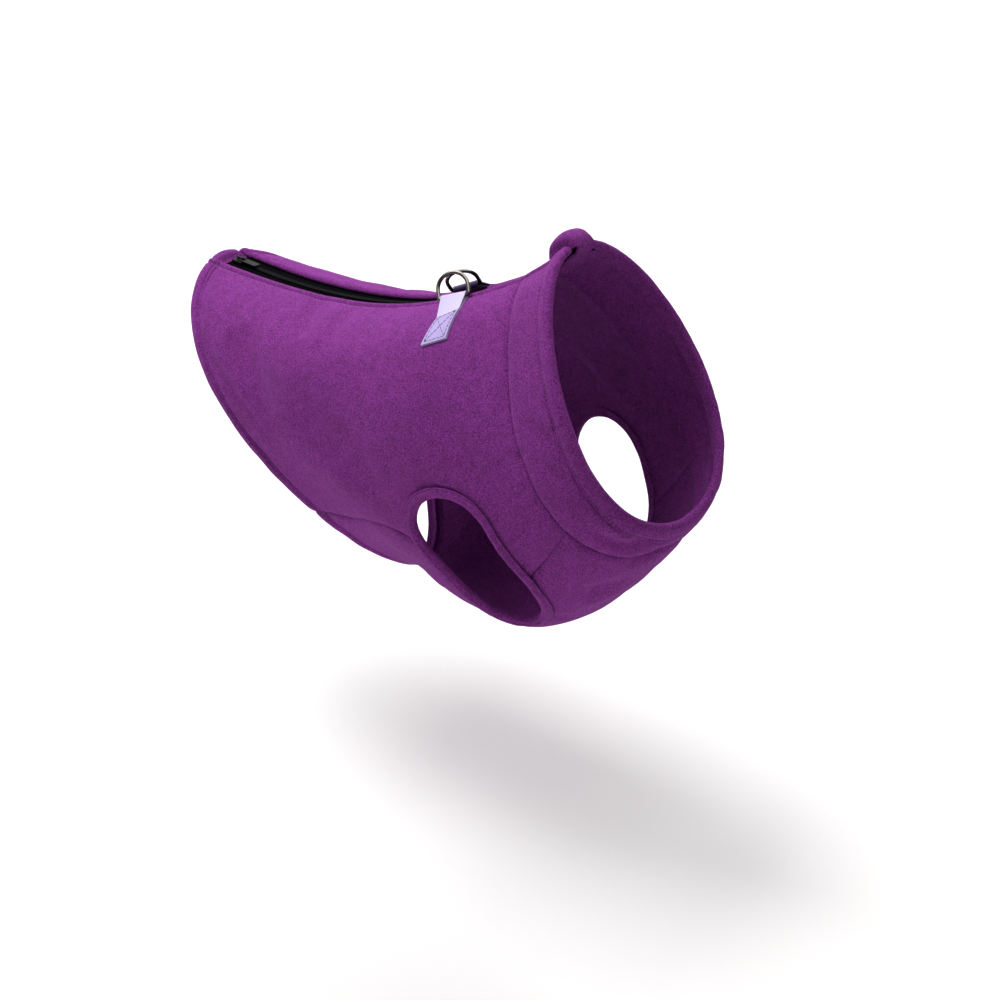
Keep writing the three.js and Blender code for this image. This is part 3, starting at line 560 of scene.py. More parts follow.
def valley(distance):
    """Dip of two panels toward the seam that joins them."""
    return swell(distance, 0, 1.8, -1.0) + swell(distance, 0, 6, -1.1)


def cloth_panel(name, along, angle, thick, edges, dips, finish):
    """Closed fleece shell on a grid of places.

    Its edges go from 0 at a rolled edge to 1, and its dips are extra height in mm.
    """
    points = face(along, angle)
    normal = outward(along, angle)
    height = relief(points) + dips
    half = thick / 2
    outer = points + normal * (height - half + half * edges)[..., None]
    inner = points + normal * (height - half - half * edges)[..., None]
    return place(name, *shell(outer, inner), finish)


def stitches(name, path, normal, finish, size, lift=0.0, sunk=0.3):
    """Row of sewn threads along a path in mm."""
    pitch, radius = size.stitch / MM, size.thread / MM / 2
    run = np.linalg.norm(np.diff(path, axis=0), axis=1)
    at = np.concatenate([[0], np.cumsum(run)])
    count = max(1, int(at[-1] / pitch))
    pitch = at[-1] / count
    shares = np.array([0.06, 0.2, 0.5, 0.8, 0.94])
    heights = np.array([-sunk, radius * 0.7, radius, radius * 0.7, -sunk]) + lift
    fat = np.array([0.6, 1, 1, 1, 0.6]) * radius
    where = (np.arange(count)[:, None] + shares) * pitch

    def sampled(values):
        return np.stack([np.interp(where, at, values[:, k]) for k in range(3)], -1)

    middle, up = sampled(path), unit(sampled(normal))
    forward = unit(np.gradient(middle, axis=1))
    across = unit(np.cross(forward, up))
    middle = middle + up * heights[None, :, None]
    turns = np.arange(4) * math.pi / 2 + math.pi / 4
    ring = (
        middle[:, :, None]
        + across[:, :, None] * (np.cos(turns)[:, None] * fat[:, None, None])[None]
        + up[:, :, None] * (np.sin(turns)[:, None] * fat[:, None, None] * 0.8)[None]
    )
    # five sections of four corners to a stitch
    faces = []
    for k in range(count):
        first = k * 20
        for s in range(4):
            for t in range(4):
                a, b = first + s * 4 + t, first + s * 4 + (t + 1) % 4
                faces.append((a, b, b + 4, a + 4))
        faces.append((first, first + 3, first + 2, first + 1))
        faces.append((first + 16, first + 17, first + 18, first + 19))
    return place(name, ring.reshape(-1, 3), faces, finish)


# Materials


def put(nodes, kind, feeds=None, **settings):
    """Adds a node with its settings and with the values or links that feed its sockets."""
    made = nodes.new(kind)
    for key, value in settings.items():
        setattr(made, key, value)
    for socket, value in (feeds or {}).items():
        if isinstance(value, bpy.types.NodeSocket):
            nodes.id_data.links.new(value, made.inputs[socket])
        else:
            made.inputs[socket].default_value = value
    return made


def finish_named(name):
    """A new material and its nodes, or the finished one with no nodes to fill."""
    known = bpy.data.materials.get(name)
    if known:
        return known, None
    made = bpy.data.materials.new(name)
    made.use_nodes = True
    made.node_tree.nodes.clear()
    return made, made.node_tree.nodes


def rgba(value):
    return (*value, 1)


def brushed_fleece():
    """Polyester fleece, brushed on both faces: fine tufts, matt, with a pale haze at a low angle."""
    made, nodes = finish_named("brushed_polyester_fleece")
    if nodes is None:
        return made
    c = bpy.context.scene.coat_colours
    where = put(nodes, "ShaderNodeTexCoord").outputs["Object"]
    # tufts 1 mm, clumps of tufts 7 mm, wear patches 60 mm
    tuft = put(nodes, "ShaderNodeTexNoise", {"Vector": where, "Scale": 1050, "Detail": 2, "Roughness": 0.7})
    clump = put(nodes, "ShaderNodeTexNoise", {"Vector": where, "Scale": 140, "Detail": 1})
    patch = put(nodes, "ShaderNodeTexNoise", {"Vector": where, "Scale": 17, "Detail": 2})
    pile = put(
        nodes,
        "ShaderNodeMath",
        {0: clump.outputs["Fac"], 1: 0.12, 2: tuft.outputs["Fac"]},
        operation="MULTIPLY_ADD",
    )
    depth = put(nodes, "ShaderNodeMapRange", {"Value": pile.outputs[0], "From Min": 0.43, "From Max": 0.68})
    shade = put(nodes, "ShaderNodeMix", {"Factor": depth.outputs[0]}, data_type="RGBA")
    shade.inputs[6].default_value, shade.inputs[7].default_value = rgba(c.fleece_deep), rgba(c.fleece)
    worn = put(nodes, "ShaderNodeMapRange", {"Value": patch.outputs["Fac"], "To Min": 0.92, "To Max": 1.08})
    tone = put(nodes, "ShaderNodeHueSaturation", {"Color": shade.outputs[2], "Value": worn.outputs[0]})
    bump = put(nodes, "ShaderNodeBump", {"Height": pile.outputs[0], "Strength": 0.85, "Distance": 0.0008})
    skin = put(
        nodes,
        "ShaderNodeBsdfPrincipled",
        {
            "Base Color": tone.outputs[0],
            "Normal": bump.outputs[0],
            "Roughness": 0.95,
            "Specular IOR Level": 0.04,
            "Sheen Weight": 0.16,
            "Sheen Roughness": 0.5,
            "Sheen Tint": rgba(c.fleece_sheen),
        },
    )
    put(nodes, "ShaderNodeOutputMaterial", {"Surface": skin.outputs[0]})
    return made


def woven(name, colour_top, colour_deep, pitch, roughness, sheen, painted_shade_from=None):
    """Ribbed weave on the piece's own UV map, which is in mm, with threads at this pitch.

    Past the distance in its last argument, where two layers are sewn together, it is painted darker toward
    the deep colour: painted shade.
    """
    made, nodes = finish_named(name)
    if nodes is None:
        return made
    where = put(nodes, "ShaderNodeTexCoord").outputs["UV"]
    split = put(nodes, "ShaderNodeSeparateXYZ", {"Vector": where})
    rows = []
    for socket, factor in (("X", 1.0), ("Y", 0.8)):
        turn = put(
            nodes,
            "ShaderNodeMath",
            {0: split.outputs[socket], 1: 2 * math.pi / pitch * factor},
            operation="MULTIPLY",
        )
        rows.append(put(nodes, "ShaderNodeMath", {0: turn.outputs[0]}, operation="SINE").outputs[0])
    cross = put(nodes, "ShaderNodeMath", {0: rows[0], 1: rows[1]}, operation="MULTIPLY")
    lift = put(nodes, "ShaderNodeMapRange", {"Value": cross.outputs[0], "From Min": -1, "From Max": 1})
    shade = put(nodes, "ShaderNodeMix", {"Factor": lift.outputs[0]}, data_type="RGBA")
    shade.inputs[6].default_value, shade.inputs[7].default_value = rgba(colour_deep), rgba(colour_top)
    face_colour = shade.outputs[2]
    if painted_shade_from is not None:
        # painted shade: from that distance on, the face colour is mixed up to three quarters of the way
        # toward the deep colour
        painted_shade_mix = put(
            nodes,
            "ShaderNodeMapRange",
            {
                "Value": split.outputs["X"],
                "From Min": painted_shade_from,
                "From Max": painted_shade_from + 0.6,
                "To Max": 0.75,
            },
        )
        tint = put(nodes, "ShaderNodeMix", {"Factor": painted_shade_mix.outputs[0]}, data_type="RGBA")
        nodes.id_data.links.new(face_colour, tint.inputs[6])
        tint.inputs[7].default_value = rgba(colour_deep)
        face_colour = tint.outputs[2]
    bump = put(nodes, "ShaderNodeBump", {"Height": lift.outputs[0], "Strength": 0.5, "Distance": 0.0002})
    skin = put(
        nodes,
        "ShaderNodeBsdfPrincipled",
        {
            "Base Color": face_colour,
            "Normal": bump.outputs[0],
            "Roughness": roughness,
            "Specular IOR Level": 0.6 * (1 - roughness),
            "Sheen Weight": sheen,
            "Sheen Roughness": 0.4,
        },
    )
    put(nodes, "ShaderNodeOutputMaterial", {"Surface": skin.outputs[0]})
    return made


def plain(name, value, roughness, metallic=0.0, grain=0.0, size_mm=0.4, shine=0.5):
    """Smooth finish with fine wear: grain is the spread of its roughness, at a size in mm."""
    made, nodes = finish_named(name)
    if nodes is None:
        return made
    where = put(nodes, "ShaderNodeTexCoord").outputs["Object"]
    noise = put(nodes, "ShaderNodeTexNoise", {"Vector": where, "Scale": 1000 / size_mm, "Detail": 3})
    spread = put(
        nodes,
        "ShaderNodeMapRange",
        {"Value": noise.outputs["Fac"], "To Min": roughness - grain, "To Max": roughness + grain},
    )
    bump = put(
        nodes, "ShaderNodeBump", {"Height": noise.outputs["Fac"], "Strength": 0.12, "Distance": 0.00005}
    )
    skin = put(
        nodes,
        "ShaderNodeBsdfPrincipled",
        {
            "Base Color": rgba(value),
            "Metallic": metallic,
            "Roughness": spread.outputs[0],
            "Specular IOR Level": shine,
            "Normal": bump.outputs[0],
        },
    )
    put(nodes, "ShaderNodeOutputMaterial", {"Surface": skin.outputs[0]})
    return made


def sewing_thread(name, value):
    """Spun polyester thread, a little glossier than the cloth it sinks into."""
    return plain(name, value, 0.6, grain=0.1, size_mm=0.3)


# Pieces


def fold_thickness(distance, depth):
    return FLEECE + (FOLDED - FLEECE) * (1 - smoothstep(depth - 0.4, depth + 0.8, distance))


class COAT_OT_side_panels(bpy.types.Operator):
    """The two side panels, with turned hem and turned edge beside the zip"""

    bl_idname = "coat.side_panels"
    bl_label = "Side panels"

    def execute(self, context):
        sizes = context.scene.coat_sizes
        for name, sign in (("side_right", 1), ("side_left", -1)):
            along, angle, edge = side_places(sign)
            hem, seam, zip_edge, low = edge_distances(face(along, angle))
            _, _, belly, arc = edge
            sewn = np.ones((len(along), 1))
            sewn[belly : belly + arc] = 0
            thick = np.maximum(fold_thickness(hem, HEM_TURN), fold_thickness(zip_edge, ZIP_TURN))
            edges = rolled(hem, 2) * rolled(zip_edge, 2) * rolled(seam, 1) * rolled(low, 1)
            dips = stitched(hem, sizes.hem_row_near / MM) + stitched(hem, sizes.hem_row_far / MM)
            dips += stitched(zip_edge, sizes.zip_row / MM) + np.minimum(valley(seam), valley(low) * sewn)
            dips += swell(zip_edge, 3.4, 2.4, 1.1) + swell(hem, 5, 3.5, 1.0)
            dips += swell(low, sizes.arm_binding / MM - EDGE_INSIDE, 2, -0.8) * (1 - sewn)
            piece = cloth_panel(name + "_cloth", along, angle, thick, edges, dips, brushed_fleece())
            attach(piece, "fleece", name)
        return {"FINISHED"}


class COAT_OT_underside(bpy.types.Operator):
    """The underside between the front legs and under the belly"""

    bl_idname = "coat.underside"
    bl_label = "Underside"

    def execute(self, context):
        sizes = context.scene.coat_sizes
        along, angle, edge = underside_places()
        hem, seam, right, left = edge_distances(face(along, angle))
        _, _, belly, arc = edge
        sewn = np.ones((len(along), 1))
        sewn[belly : belly + arc] = 0
        thick = fold_thickness(hem, HEM_TURN)
        edges = rolled(hem, 2) * rolled(seam, 1) * rolled(right, 1) * rolled(left, 1)
        dips = stitched(hem, sizes.hem_row_near / MM) + stitched(hem, sizes.hem_row_far / MM)
        dips += np.minimum(valley(seam), (valley(right) + valley(left)) * sewn) + swell(hem, 5, 3.5, 1.0)
        beside = sizes.arm_binding / MM - EDGE_INSIDE
        dips += (swell(right, beside, 2, -0.8) + swell(left, beside, 2, -0.8)) * (1 - sewn)
        piece = cloth_panel("underside_cloth", along, angle, thick, edges, dips, brushed_fleece())
        attach(piece, "fleece", "underside")
        return {"FINISHED"}


class COAT_OT_collar(bpy.types.Operator):
    """The collar band round the neck"""

    bl_idname = "coat.collar"
    bl_label = "Collar"

    def execute(self, context):
        sizes = context.scene.coat_sizes
        along, angle = collar_places()
        right, left, seam, rim = edge_distances(face(along, angle))
        zip_edge = np.minimum(right, left)
        thick = fold_thickness(zip_edge, ZIP_TURN)
        thick = FLEECE + (thick - FLEECE) * smoothstep(10, 12, rim)
        edges = rolled(zip_edge, 2) * rolled(seam, 1) * rolled(rim, 1)
        dips = stitched(zip_edge, sizes.zip_row / MM) + valley(seam) + swell(zip_edge, 3.4, 2.4, 1.1)
        dips += swell(rim, sizes.neck_binding / MM - EDGE_INSIDE, 2.4, -2.0)
        dips += 1.5 * np.sin(math.pi * seam / (seam + rim)) * smoothstep(8, 30, zip_edge)
        piece = cloth_panel("collar_cloth", along, angle, thick, edges, dips, brushed_fleece())
        attach(piece, "fleece", "collar")
        return {"FINISHED"}


BINDING_WALL, BINDING_AIR, ROW_INSIDE = 1.4, 0.5, 1.6


def binding_section(width, puff):
    """Depth from the edge and height of a folded strip's middle line, from outer leg to inner leg."""
    above = BINDING_AIR + BINDING_WALL / 2
    below = -FLEECE - above - 0.1
    middle, radius = (above + below) / 2, (above - below) / 2
    leg = np.array([0, 0.04, 0.1, 0.14, 0.18, 0.26, 0.4, 0.6, 0.8, 0.93])
    start = BINDING_WALL / 2 + radius
    into = width + (start - width) * leg
    crown = np.sin(math.pi * np.clip((width - into) / (width - start * 0.4), 0, 1)) ** 0.7
    lift = above + puff * crown + swell(into, width - ROW_INSIDE, 0.7, -0.9)
    turn = np.linspace(90, 270, 9)
    fold_into = start + radius * np.cos(np.radians(turn))
    fold_lift = middle + radius * np.sin(np.radians(turn))
    return (
        np.concatenate([into, fold_into, into[::-1]]),
        np.concatenate([lift, fold_lift, np.full(len(into), below)]),
    )


def bound_edge(name, along, angle, out, width, closed, mirror, seed):
    """Folded strip over an edge, a little puckered by its row of stitches."""
    sizes = bpy.context.scene.coat_sizes
    into, lift = binding_section(width, sizes.puff / MM)
    a, b = moved(along[:, None], angle[:, None], out[:, None], into)
    points = on_cloth(a, b, lift)
    normal = outward(a, b)
    pucker = 0.22 * uneven(points, 9, seed) + 0.3 * uneven(points, 26, seed + 1)
    points = points + normal * (pucker * (lift > -1))[..., None]
    if mirror:
        points = points * (1, -1, 1)
    return place(name, *strip(points, BINDING_WALL, closed), brushed_fleece(), sharp=70)


def arm_ring(steps=150):
    turn = np.linspace(-180, 180, steps + 1)[:-1]
    along, angle = arm_place(turn)
    return along, angle, square_to_edge(along, angle, away_from_arm(along, angle), closed=True)


def neck_line():
    angle = np.delete(collar_angles(np.array([1.0]), 80)[0], [1, 2, 3, -2, -3, -4])
    along = np.ones(len(angle))
    return along, angle, -unit(slopes(along, angle)[0])


class COAT_OT_bindings(bpy.types.Operator):
    """The folded strips on the neck edge and round both armholes"""

    bl_idname = "coat.bindings"
    bl_label = "Bindings"

    def execute(self, context):
        sizes = context.scene.coat_sizes
        along, angle, out = neck_line()
        neck = bound_edge("neck_strip", along, angle, out, sizes.neck_binding / MM, False, False, 21)
        attach(neck, "fleece", "neck_binding")
        along, angle, out = arm_ring()
        for side, mirror in (("right", False), ("left", True)):
            width = sizes.arm_binding / MM
            arm = bound_edge(f"armhole_strip_{side}", along, angle, out, width, True, mirror, 31)
            attach(arm, "fleece", f"armhole_binding_{side}")
        return {"FINISHED"}


TAPE_TOP, TAPE_BOTTOM = -4.3, -5.0
COIL_BOTTOM, COIL_TOP = -4.0, -2.3
LAP_TOP, LAP_WALL, LAP_HALF = -5.3, 1.8, 21
# along, from the tail: the zip, and the neck ends of its tapes and of the guard strip under it
ZIP_START, ZIP_END, TAPE_END, LAP_END = 0.032, 0.995, 0.988, 0.987


def across_zip(along, across, lift):
    """Points on lines across the zip, by mm to the right of it and mm above the outer face."""
    along, across, lift = np.broadcast_arrays(along, across, lift)
    return on_cloth(along, angle_at(along, across), lift)


def run_length(along):
    return np.concatenate([[0], np.cumsum(np.linalg.norm(np.diff(face(along, 0), axis=0), axis=1))])


class COAT_OT_zip_chain(bpy.types.Operator):
    """The woven zip tapes and the two rows of nylon teeth"""

    bl_idname = "coat.zip_chain"
    bl_label = "Zip tapes and teeth"

    def execute(self, context):
        c, sizes = context.scene.coat_colours, context.scene.coat_sizes
        tape = woven("polyester_zip_tape", c.zip_tape, tuple(v * 0.4 for v in c.zip_tape), 0.9, 1.0, 0.01)
        along = np.linspace(ZIP_START, TAPE_END, 150)
        at = run_length(along)
        for side, sign in (("right", 1), ("left", -1)):
            across = np.array([1.3, 1.5, 3, 4.4, 5, 6, 8, 11, 14, 17.8, 18]) * sign
            rib = -0.12 * np.exp(-(((np.abs(across) - 4.6) / 0.5) ** 2))
            outer = across_zip(along[:, None], across[None], TAPE_TOP + rib[None])
            inner = across_zip(along[:, None], across[None], TAPE_BOTTOM + 0 * rib[None])
            uv = np.stack(np.broadcast_arrays(at[:, None], across[None]), -1).reshape(-1, 2)
            piece = place(f"zip_weave_{side}", *shell(outer, inner), tape, uv=np.concatenate([uv, uv]))
            attach(piece, "zip_tape", f"zip_tape_{side}")
        fine = np.linspace(ZIP_START + 0.003, ZIP_END - 0.02, 2000)
        at = run_length(fine)
        count = int(at[-1] / (sizes.tooth / MM))
        points, faces = [], []
        sides = 6
        for sign in (1, -1):
            offset = 0.25 if sign > 0 else 0.75
            spots = np.interp((np.arange(count) + offset) / count * at[-1], at, fine)
            ends = np.array([2.65, 2.2, 0.5, -0.35]) * sign
            fat = np.array([0.34, 0.5, 0.5, 0.36])
            middle = across_zip(spots[:, None], ends[None], (COIL_TOP + COIL_BOTTOM) / 2)
            up = outward(spots, 0)
            way = unit(slopes(spots, 0)[0])
            turns = np.arange(sides) * 2 * math.pi / sides
            ring = (
                middle[:, :, None]
                + way[:, None, None] * (np.cos(turns)[:, None] * fat[:, None, None])[None]
                + up[:, None, None] * (np.sin(turns)[:, None] * fat[:, None, None] * 1.55)[None]
            )
            first = sum(len(p) for p in points)
            points.append(ring.reshape(-1, 3))
            for k in range(count):
                base = first + k * 4 * sides
                for s in range(3):
                    for t in range(sides):
                        a, b = base + s * sides + t, base + s * sides + (t + 1) % sides
                        faces.append((a, b, b + sides, a + sides)[:: sign])
                faces.append(tuple(base + t for t in range(sides))[:: -sign])
                faces.append(tuple(base + 3 * sides + t for t in range(sides))[:: sign])
        nylon = plain("nylon_zip_teeth", c.zip_coil, 0.65, grain=0.08, shine=0.04)
        teeth = place("zip_teeth", np.concatenate(points), faces, nylon)
        attach(teeth, "zip_coil", "zip_coil")
        return {"FINISHED"}


# The guard strip past the zip's tail end: along, half width, top
LAP_SHAPE = (
    (-0.006, 7, -2.2), (-0.003, 13, -1.4), (-0.001, 17, -1.0), (0.002, 19.5, -1.0), (0.012, 20, -1.7),
    (0.02, 20.5, -3.9), (0.027, 21, -5.3),
)
# mm from its middle line at which its sides begin and end their dip under the panels
LAP_TUCK = 12, 18
# The folded tab over the neck end: mm past the neck edge, mm above the outer face in its middle and at its
# sides, half width
TAB_FOLD = (
    (-23.4, 0.0, -1.0, 7.4), (-22.6, 3.2, -1.4, 8.6), (-19, 7.4, -1.8, 9.0), (-14, 9.6, -1.8, 9.0),
    (-7, 10.4, -1.8, 9.0), (-1, 9.4, -1.8, 8.9), (3.0, 5.8, -2.2, 8.7), (4.6, 0.6, -3.0, 8.7),
    (3.4, -4.2, -4.6, 8.7), (0.6, -6.2, -6.2, 8.7), (-2.6, -6.4, -6.4, 8.7),
)
TAB_HALF, TAB_BULGE = 9, 0.9


class COAT_OT_zip_guard(bpy.types.Operator):
    """The fleece guard strip under the zip and the folded tab over its neck end"""

    bl_idname = "coat.zip_guard"
    bl_label = "Zip guard and tab"

    def execute(self, context):
        shape = np.array(LAP_SHAPE)
        fine = np.linspace(0, len(shape) - 1, 22)
        dome = [np.interp(fine, np.arange(len(shape)), shape[:, k]) for k in range(3)]
        long = np.linspace(ZIP_START, LAP_END, 110)
        along = np.concatenate([dome[0], long])
        half = np.concatenate([dome[1], np.full(len(long), LAP_HALF)])
        top = np.concatenate([dome[2], np.full(len(long), LAP_TOP)])
        parts = np.array([0.25, 0.45, 0.56, 0.62, 0.68, 0.74, 0.8, 0.88, 0.94, 0.985, 1])
        parts = np.concatenate([-parts[::-1], [0], parts])
        past = (1 - smoothstep(0.012, 0.024, along))[:, None]
        across = parts[None] * half[:, None]
        roll = rolled((1 - np.abs(parts[None])) * half[:, None], 1) * rolled(run_length(along), 1)[:, None]
        # its sides dip under the panels, whose turned edges puff up at the hem
        tuck = smoothstep(*LAP_TUCK, np.abs(across))
        high = top[:, None] + past * 2.0 * (1 - (across / 16) ** 2)
        before_tape = (1 - smoothstep(LAP_SHAPE[-1][0], ZIP_START, along))[:, None]
        under = LAP_TOP + before_tape * (-FOLDED + 1.1 - LAP_TOP)
        middle = high + (under - high) * tuck - LAP_WALL / 2
        outer = across_zip(along[:, None], across, middle + roll * LAP_WALL / 2)
        inner = across_zip(along[:, None], across, middle - roll * LAP_WALL / 2)
        lap = place("zip_guard_strip", *shell(outer, inner), brushed_fleece())
        attach(lap, "fleece", "underlap")
        tab = np.array(TAB_FOLD)
        fine = np.linspace(0, len(tab) - 1, 60)
        run, rise, side, wide = (
            curve_through(np.arange(len(tab)), tab[:, k])(fine)[:, None] for k in range(4)
        )
        speed = np.linalg.norm(slopes(1.0, 0.0)[0])
        parts = np.sin(np.linspace(-math.pi / 2, math.pi / 2, 33))[None]
        height = side + (rise - side) * np.sqrt(1 - parts**4)
        # over the collar's ends the arch swells a little past its foot
        swollen = 1 + TAB_BULGE / TAB_HALF * smoothstep(3.5, 7, height)
        rows = across_zip(1 + run / speed, parts * wide * swollen, height)
        rows = rows + 0.4 * uneven(rows, 13, 41)[..., None] * outward(1.0, 0.0)
        cover = place("zip_end_tab", *strip(rows, LAP_WALL), brushed_fleece(), sharp=75)
        attach(cover, "fleece", "zip_garage")
        return {"FINISHED"}


RINGS = {
    "right": {
        "bar": (23.4, -23.7, 16.9), "way": (0.83, 0.5, 0.27), "stand": (-0.46, 0.38, 0.82),
        "end": (0.7, 0.743, 36, 36), "sewn": (0.711, 0.75, 23, 21),
    },
    "left": {
        "bar": (13.6, 0.5, 16.0), "way": (0.8, 0.5, 0.33), "stand": (0.049, -0.603, 0.796),
        "end": (0.677, 0.722, -30, -30), "sewn": (0.683, 0.728, -8.5, -8.5),
    },
}
WIRE, RING_WIDE, RING_TALL, RING_CORNER = 1.5, 23, 18.5, 1.6
WEB_WALL, WEB_AIR, CLEAR = 0.8, 0.25, 0.3
# mm: the webbing's width, and half its width where it passes round the bar
WEB_WIDE, WEB_HALF = 20, 9.6
# rows of points on each layer that lies on the cloth, and points across the webbing
LAID_ROWS, WEB_POINTS = 13, 17


def ring_axes(ring):
    way = unit(np.array(ring["way"]))
    stand = np.array(ring["stand"])
    stand = unit(stand - way * (stand @ way))
    return np.array(ring["bar"]), way, stand, np.cross(way, stand)


def webbing_rows(ring):
    """Rows of points from the sewn lower layer, round the bar, to the sewn upper layer; shares across."""
    bar, way, _, _ = ring_axes(ring)
    lower = CLEAR + WEB_WALL / 2
    upper = lower + WEB_WALL + WEB_AIR
    across = np.linspace(0, 1, WEB_POINTS)
    end, sewn = ring["end"], ring["sewn"]

    def laid(part, lift):
        rear, front, angle_rear, angle_front = (a + (b - a) * part for a, b in zip(end, sewn))
        angle = np.radians(angle_rear + (angle_front - angle_rear) * across)
        return on_cloth(rear + (front - rear) * across, angle, lift)

    radius = WIRE + 0.4 + WEB_WALL / 2
    middle = bar + way * ((across - 0.5) * 2 * WEB_HALF)[:, None]
    foot = laid(1, (lower + upper) / 2)
    out = middle - foot
    out = unit(out - way * (out @ way)[:, None])
    up = unit(np.cross(out, way))
    if up[0] @ outward(sewn[0], math.radians(sewn[2])) < 0:
        up = -up
    parts = np.linspace(0, 1, LAID_ROWS)
    rows = [laid(p, lower) for p in parts]
    for turn in np.radians(np.linspace(-20, 200, 19)):
        rows.append(middle + out * radius * math.sin(turn) - up * radius * math.cos(turn))
    rows += [laid(p, upper) for p in parts[::-1]]
    return np.array(rows), across


class COAT_OT_lead_webbing(bpy.types.Operator):
    """The two short webbings that hold the lead rings, with their box seams"""

    bl_idname = "coat.lead_webbing"
    bl_label = "Lead webbing"

    def execute(self, context):
        c, sizes = context.scene.coat_colours, context.scene.coat_sizes
        dark = tuple(v * 0.5 for v in c.web_dark)
        for side, ring in RINGS.items():
            rows, across = webbing_rows(ring)
            run = np.linalg.norm(np.diff(rows[:, WEB_POINTS // 2], axis=0), axis=1)
            at = np.concatenate([[0], np.cumsum(run)])
            uv = np.stack(np.broadcast_arrays(at[:, None], across[None] * WEB_WIDE), -1).reshape(-1, 2)
            if side == "right":
                # the layer laid on the cloth is painted darker than the pale loop round the bar, which faces
                # up to the light: painted shade, partly standing in for the dense box stitching there
                painted_shade_from = at[-LAID_ROWS]
                finish = woven(
                    "pale_satin_webbing", c.web_pale, c.web_pale_deep, 1.1, 0.45, 0.3, painted_shade_from
                )
            else:
                finish = woven("dark_webbing", c.web_dark, dark, 1.1, 0.55, 0.2)
            points, faces = strip(rows, WEB_WALL)
            both = np.concatenate([uv, uv])
            piece = place(f"lead_webbing_{side}", points, faces, finish, uv=both, sharp=60)
            slot = "lilac_webbing" if side == "right" else "violet_webbing"
            attach(piece, slot, f"ring_tape_{side}")
            box_seam(side, rows, sizes, c)
        return {"FINISHED"}


def box_seam(side, rows, sizes, c):
    """Box with a cross in it, sewn through both layers, and the row across at the bar."""
    top = rows[-LAID_ROWS:]
    normal = unit(np.cross(np.gradient(top, axis=0), np.gradient(top, axis=1)))
    middle = normal[LAID_ROWS // 2, WEB_POINTS // 2]
    if middle @ outward(0.72, math.radians(30 if side == "right" else -20)) < 0:
        normal = -normal
    last_row, last_point = LAID_ROWS - 1, WEB_POINTS - 1

    def at(u, v):
        """Point and normal on the upper layer: u from the bar (0) to the end (1), v across."""
        i, j = u * last_row, v * last_point
        i0 = np.minimum(i.astype(int), last_row - 1)
        j0 = np.minimum(j.astype(int), last_point - 1)
        fi, fj = (i - i0)[:, None], (j - j0)[:, None]

        def mix(g):
            near = g[i0, j0] * (1 - fj) + g[i0, j0 + 1] * fj
            far = g[i0 + 1, j0] * (1 - fj) + g[i0 + 1, j0 + 1] * fj
            return near * (1 - fi) + far * fi

        return mix(top), mix(normal)

    corners = {"a": (0.06, 0.1), "b": (0.06, 0.9), "c": (0.92, 0.9), "d": (0.92, 0.1)}
    thread = sewing_thread("violet_polyester_thread", c.thread)
    for k, (start, end) in enumerate(("ab", "bc", "cd", "da", "ac", "bd")):
        t = np.linspace(0, 1, 13)
        u = corners[start][0] + (corners[end][0] - corners[start][0]) * t
        v = corners[start][1] + (corners[end][1] - corners[start][1]) * t
        path, up = at(u, v)
        row = stitches(f"box_seam_{side}_{k + 1}", path, up, thread, sizes, lift=WEB_WALL / 2)
        attach(row, "violet_webbing")


def clear_selection():
    if bpy.context.object and bpy.context.object.mode != "OBJECT":
        bpy.ops.object.mode_set(mode="OBJECT")
    bpy.ops.object.select_all(action="DESELECT")


def settle(piece, name, matrix, finish):
    """Ends edit work: applies the piece's place, moves its mesh into the frame and gives it its finish."""
    piece.name = piece.data.name = name
    bpy.ops.object.transform_apply(location=True, rotation=True, scale=True)
    piece.data.transform(matrix)
    piece.data.materials.clear()
    piece.data.materials.append(finish)
    return piece


def seat_matrix(x, y, z, spot):
    """Moves a piece built at the origin to these axes and this spot, which is in mm."""
    return Matrix([[*row, s * MM] for row, s in zip(np.stack([x, y, z], 1), spot)] + [[0, 0, 0, 1]])


class COAT_OT_lead_rings(bpy.types.Operator):
    """The two wire rings for the lead, bent to a D"""

    bl_idname = "coat.lead_rings"
    bl_label = "Lead rings"

    def execute(self, context):
        c = context.scene.coat_colours
        metal = plain("dark_nickel_plate", c.ring, 0.08, metallic=1.0, grain=0.04, size_mm=2.5)
        half, corner = RING_WIDE / 2 * MM, RING_CORNER * MM
        side_tall = (RING_TALL - RING_WIDE / 2) * MM
        for side, ring in RINGS.items():
            clear_selection()
            bpy.ops.mesh.primitive_circle_add(
                vertices=16, radius=WIRE * MM, location=(-half + corner, 0, 0), rotation=(0, math.pi / 2, 0)
            )
            wire = context.object
            bpy.ops.object.transform_apply(location=True, rotation=True, scale=True)
            bpy.ops.object.mode_set(mode="EDIT")
            bpy.ops.mesh.select_all(action="SELECT")
            self.straight((2 * (half - corner), 0, 0))
            self.bend(90, (half - corner, corner, 0), 6)
            self.straight((0, side_tall - corner, 0))
            self.bend(180, (0, side_tall, 0), 32)
            self.straight((0, corner - side_tall, 0))
            self.bend(90, (-half + corner, corner, 0), 6)
            bpy.ops.mesh.select_all(action="SELECT")
            bpy.ops.mesh.remove_doubles(threshold=1e-5)
            bpy.ops.mesh.normals_make_consistent(inside=False)
            bpy.ops.object.mode_set(mode="OBJECT")
            bpy.ops.object.shade_smooth()
            bar, way, stand, flat = ring_axes(ring)
            settle(wire, f"lead_ring_{side}", seat_matrix(way, stand, flat, bar), metal)
            attach(wire, "dark_nickel", f"d_ring_{side}", body=f"ring_{side}")
        return {"FINISHED"}

    def straight(self, value):
        bpy.ops.mesh.extrude_region_move(TRANSFORM_OT_translate={"value": value})

    def bend(self, degrees, centre, steps):
        bpy.ops.mesh.spin(steps=steps, angle=-math.radians(degrees), center=centre, axis=(0, 0, 1))


SLIDER_ALONG = 0.055


